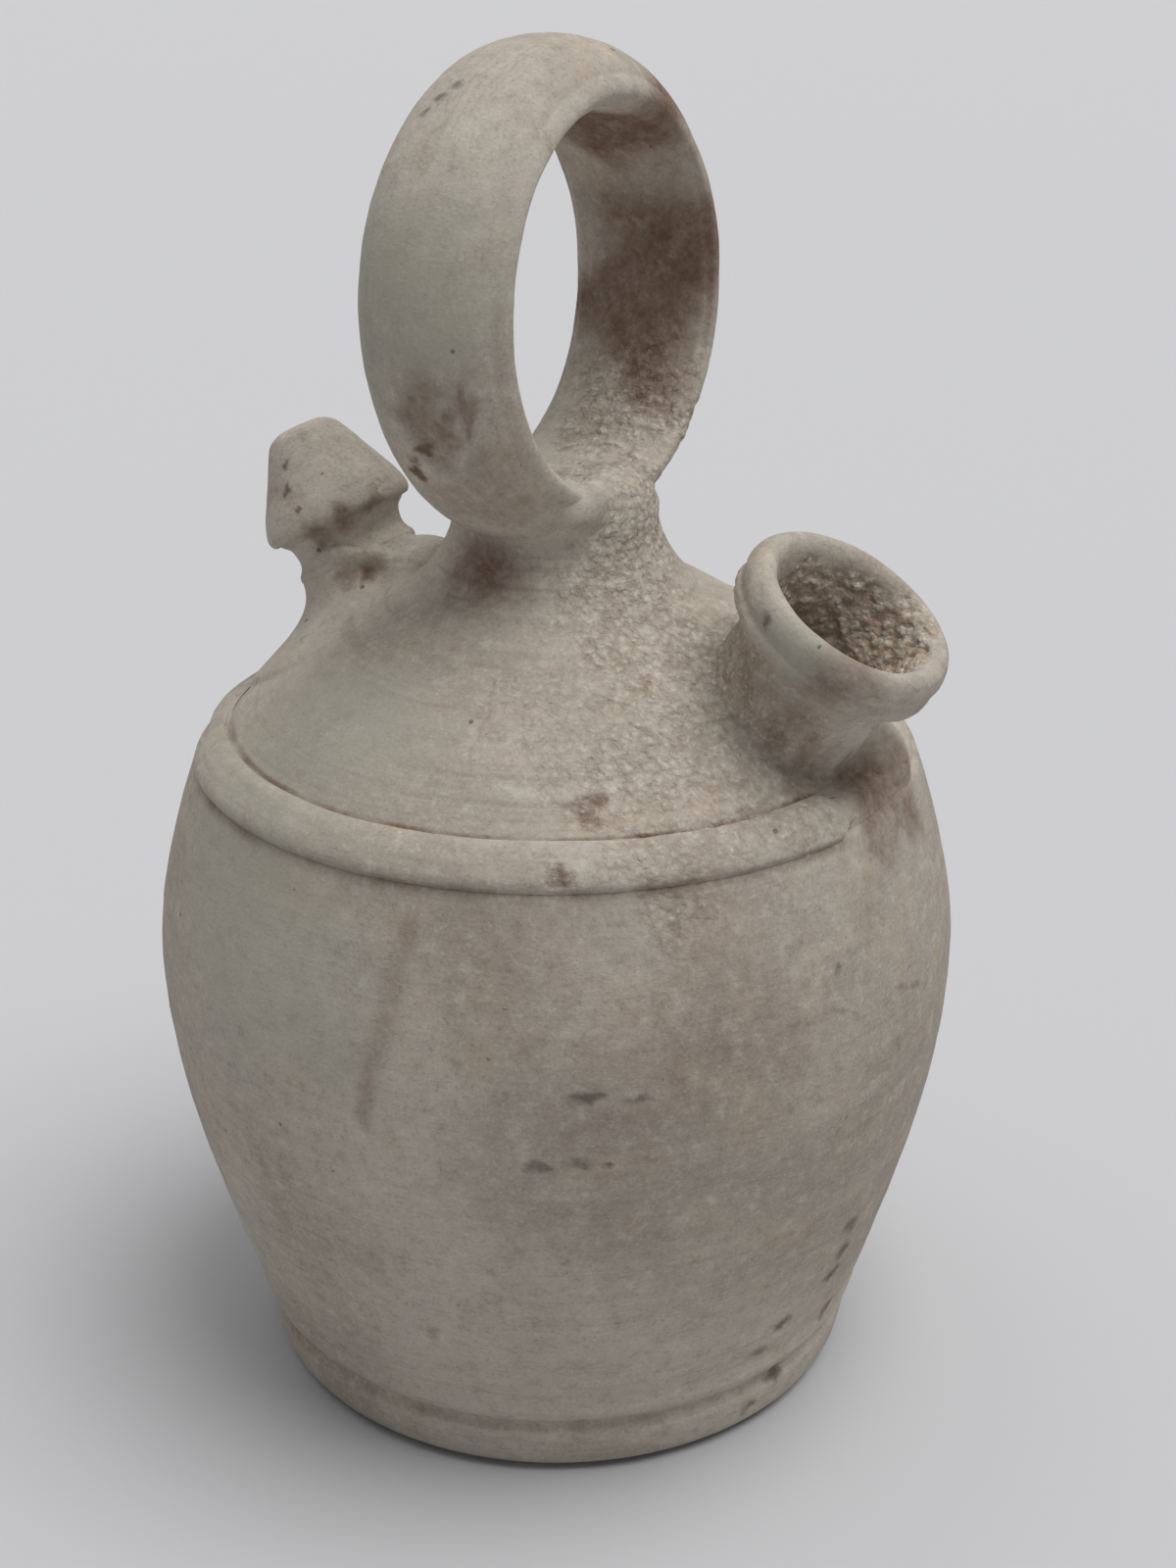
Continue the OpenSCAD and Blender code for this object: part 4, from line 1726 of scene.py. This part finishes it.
@dataclass(frozen=True)
class Studio:
    """The camera at the photograph's viewpoint, a pale floor and soft light.

    Attributes:
        around_deg: Bearing of the camera round the jug's axis.
        away: Its distance from that axis, in metres.
        height: Its height above the floor, in metres.
        swing_deg: How far it looks past the axis.
        dip_deg: How far it looks down.
        lens: Its focal length, in millimetres.
        lamps: The lamps.
        room: Strength of the light from all round.
        floor_colour: Colour of the floor.
        room_colour: Colour of the light from all round.
        back_colour: Colour behind the floor's edge.
    """

    around_deg: float = -58.0
    away: float = 0.4984
    height: float = 0.3506
    swing_deg: float = 0.82
    dip_deg: float = 22.95
    lens: float = 54.0
    lamps: tuple[Lamp, ...] = (
        Lamp("window", (0.52, 0.1, 1.4), 1.95, 44.0),
        Lamp("ceiling", (-0.15, 0.2, 1.0), 1.0, 90.0),
    )
    room: float = 0.34
    floor_colour: str = "C0C0C2"
    room_colour: str = "DCDDE0"
    back_colour: str = "CACACC"

    def set_camera(self) -> None:
        """Put the camera where the photograph was taken from."""
        turn = math.radians(self.around_deg)
        heading = turn + math.pi - math.radians(self.swing_deg)
        dip = math.radians(self.dip_deg)
        level = math.cos(dip)
        ahead = Vector((math.cos(heading) * level, math.sin(heading) * level, -math.sin(dip)))
        data = bpy.data.cameras.new("photo_view")
        data.lens = self.lens
        data.sensor_width = 36.0
        data.clip_start = 0.01
        data.clip_end = 500.0
        camera = bpy.data.objects.new("photo_view", data)
        camera.location = (self.away * math.cos(turn), self.away * math.sin(turn), self.height)
        camera.rotation_euler = ahead.to_track_quat("-Z", "Y").to_euler()
        bpy.context.scene.collection.objects.link(camera)
        bpy.context.scene.camera = camera

    def lay_floor(self) -> None:
        """Lay a wide pale floor under the jug."""
        Bench.clear()
        bpy.ops.mesh.primitive_plane_add(size=80.0)
        floor = bpy.context.object
        floor.name = "floor"
        material = bpy.data.materials.new("pale paper")
        material.use_nodes = True
        shader = material.node_tree.nodes["Principled BSDF"]
        shader.inputs["Base Color"].default_value = linear(self.floor_colour)
        shader.inputs["Roughness"].default_value = 0.9
        floor.data.materials.append(material)

    def hang_lamps(self) -> None:
        """Hang the lamps, each turned to the jug's foot."""
        for lamp in self.lamps:
            data = bpy.data.lights.new(lamp.name, "SUN")
            data.energy = lamp.strength
            data.angle = math.radians(lamp.width)
            hung = bpy.data.objects.new(lamp.name, data)
            hung.location = lamp.at
            hung.rotation_euler = (-Vector(lamp.at)).to_track_quat("-Z", "Y").to_euler()
            bpy.context.scene.collection.objects.link(hung)

    def light_room(self) -> None:
        """Light the jug from all round, behind a paler wall that only camera and shine see."""
        world = bpy.data.worlds.new("studio")
        bpy.context.scene.world = world
        world.use_nodes = True
        tree = world.node_tree
        tree.nodes.clear()
        path = add_node(tree, "ShaderNodeLightPath").outputs
        rays = {0: path["Is Camera Ray"], 1: path["Is Glossy Ray"]}
        seen = add_node(tree, "ShaderNodeMath", rays, operation="MAXIMUM").outputs[0]
        colours = ((self.room_colour, self.room), (self.back_colour, 1.0))
        room, back = (
            add_node(tree, "ShaderNodeBackground", {"Color": linear(code), "Strength": strength}).outputs[0]
            for code, strength in colours
        )
        both = add_node(tree, "ShaderNodeMixShader", {0: seen, 1: room, 2: back})
        add_node(tree, "ShaderNodeOutputWorld", {"Surface": both.outputs[0]})

    def set_up(self) -> None:
        """Set camera, floor, light and view transform."""
        self.set_camera()
        self.lay_floor()
        self.hang_lamps()
        self.light_room()
        bpy.context.scene.view_settings.view_transform = "Standard"


def main() -> None:
    """Build the studio and every piece in order."""
    logging.basicConfig(level=logging.INFO, format="%(name)s %(message)s")
    Studio().set_up()
    # The belly was wiped smooth, so the eye sees soft clouds and hardly a line.
    body = Earthenware("unglazed white earthenware, thrown belly")
    # Shoulder and stem were left as thrown: the fingers' lines run round them, deep and dark.
    shoulder = Earthenware("unglazed white earthenware, thrown shoulder", line_depth=0.17, line_ink=0.35)
    # The ring was thrown lying down, so its faint lines run round its own axis.
    handle = Earthenware("unglazed white earthenware, thrown ring", line_axis=90.0 + JUG.ring_tip)
    # The mouth is caked inside with lime and dust, paler and warmer than the clay; its crust tones are
    # lightened further, painted light in the shaded bowl.
    mouth = Earthenware(
        "unglazed white earthenware, thrown mouth",
        line_axis=JUG.mouth_lean,
        crumb="E2C3A6",
        crumb_top_and_highlight="FFF3E4",
        pit_floor_and_shade="CCAD94",
    )
    # The spout has the lines of the belly, round its own leaning axis.
    spout = Earthenware("unglazed white earthenware, thrown spout", line_axis=-JUG.spout_lean)
    # Luting clay was smeared on with a finger and never turned: hardly a line stands out on it.
    luting = Earthenware("unglazed white earthenware, luting clay", line_depth=0.02)
    pieces = (
        BellyPot("belly_pot", "clay_body", body, steps=440),
        ShoulderDome("shoulder_dome", "clay_shoulder", shoulder, steps=560),
        ShoulderCordon("shoulder_cordon", "clay_shoulder", shoulder, steps=640),
        HandleStem("handle_stem", "clay_handle", shoulder, steps=320),
        HandleRing("handle_ring", "clay_handle", handle, steps=480),
        HandleSaddle("handle_saddle", "luting_clay", luting),
        MouthTube("mouth_tube", "clay_mouth", mouth, steps=280),
        MouthLuting("mouth_luting", "luting_clay", luting, ("luting_tongue",)),
        SpoutNeck("spout_neck", "clay_spout", spout, steps=200),
        SpoutNozzle("spout_nozzle", "clay_spout", spout, steps=220),
        SpoutLuting("spout_luting", "luting_clay", luting),
    )
    for piece in pieces:
        piece.build()


if __name__ == "__main__":
    main()
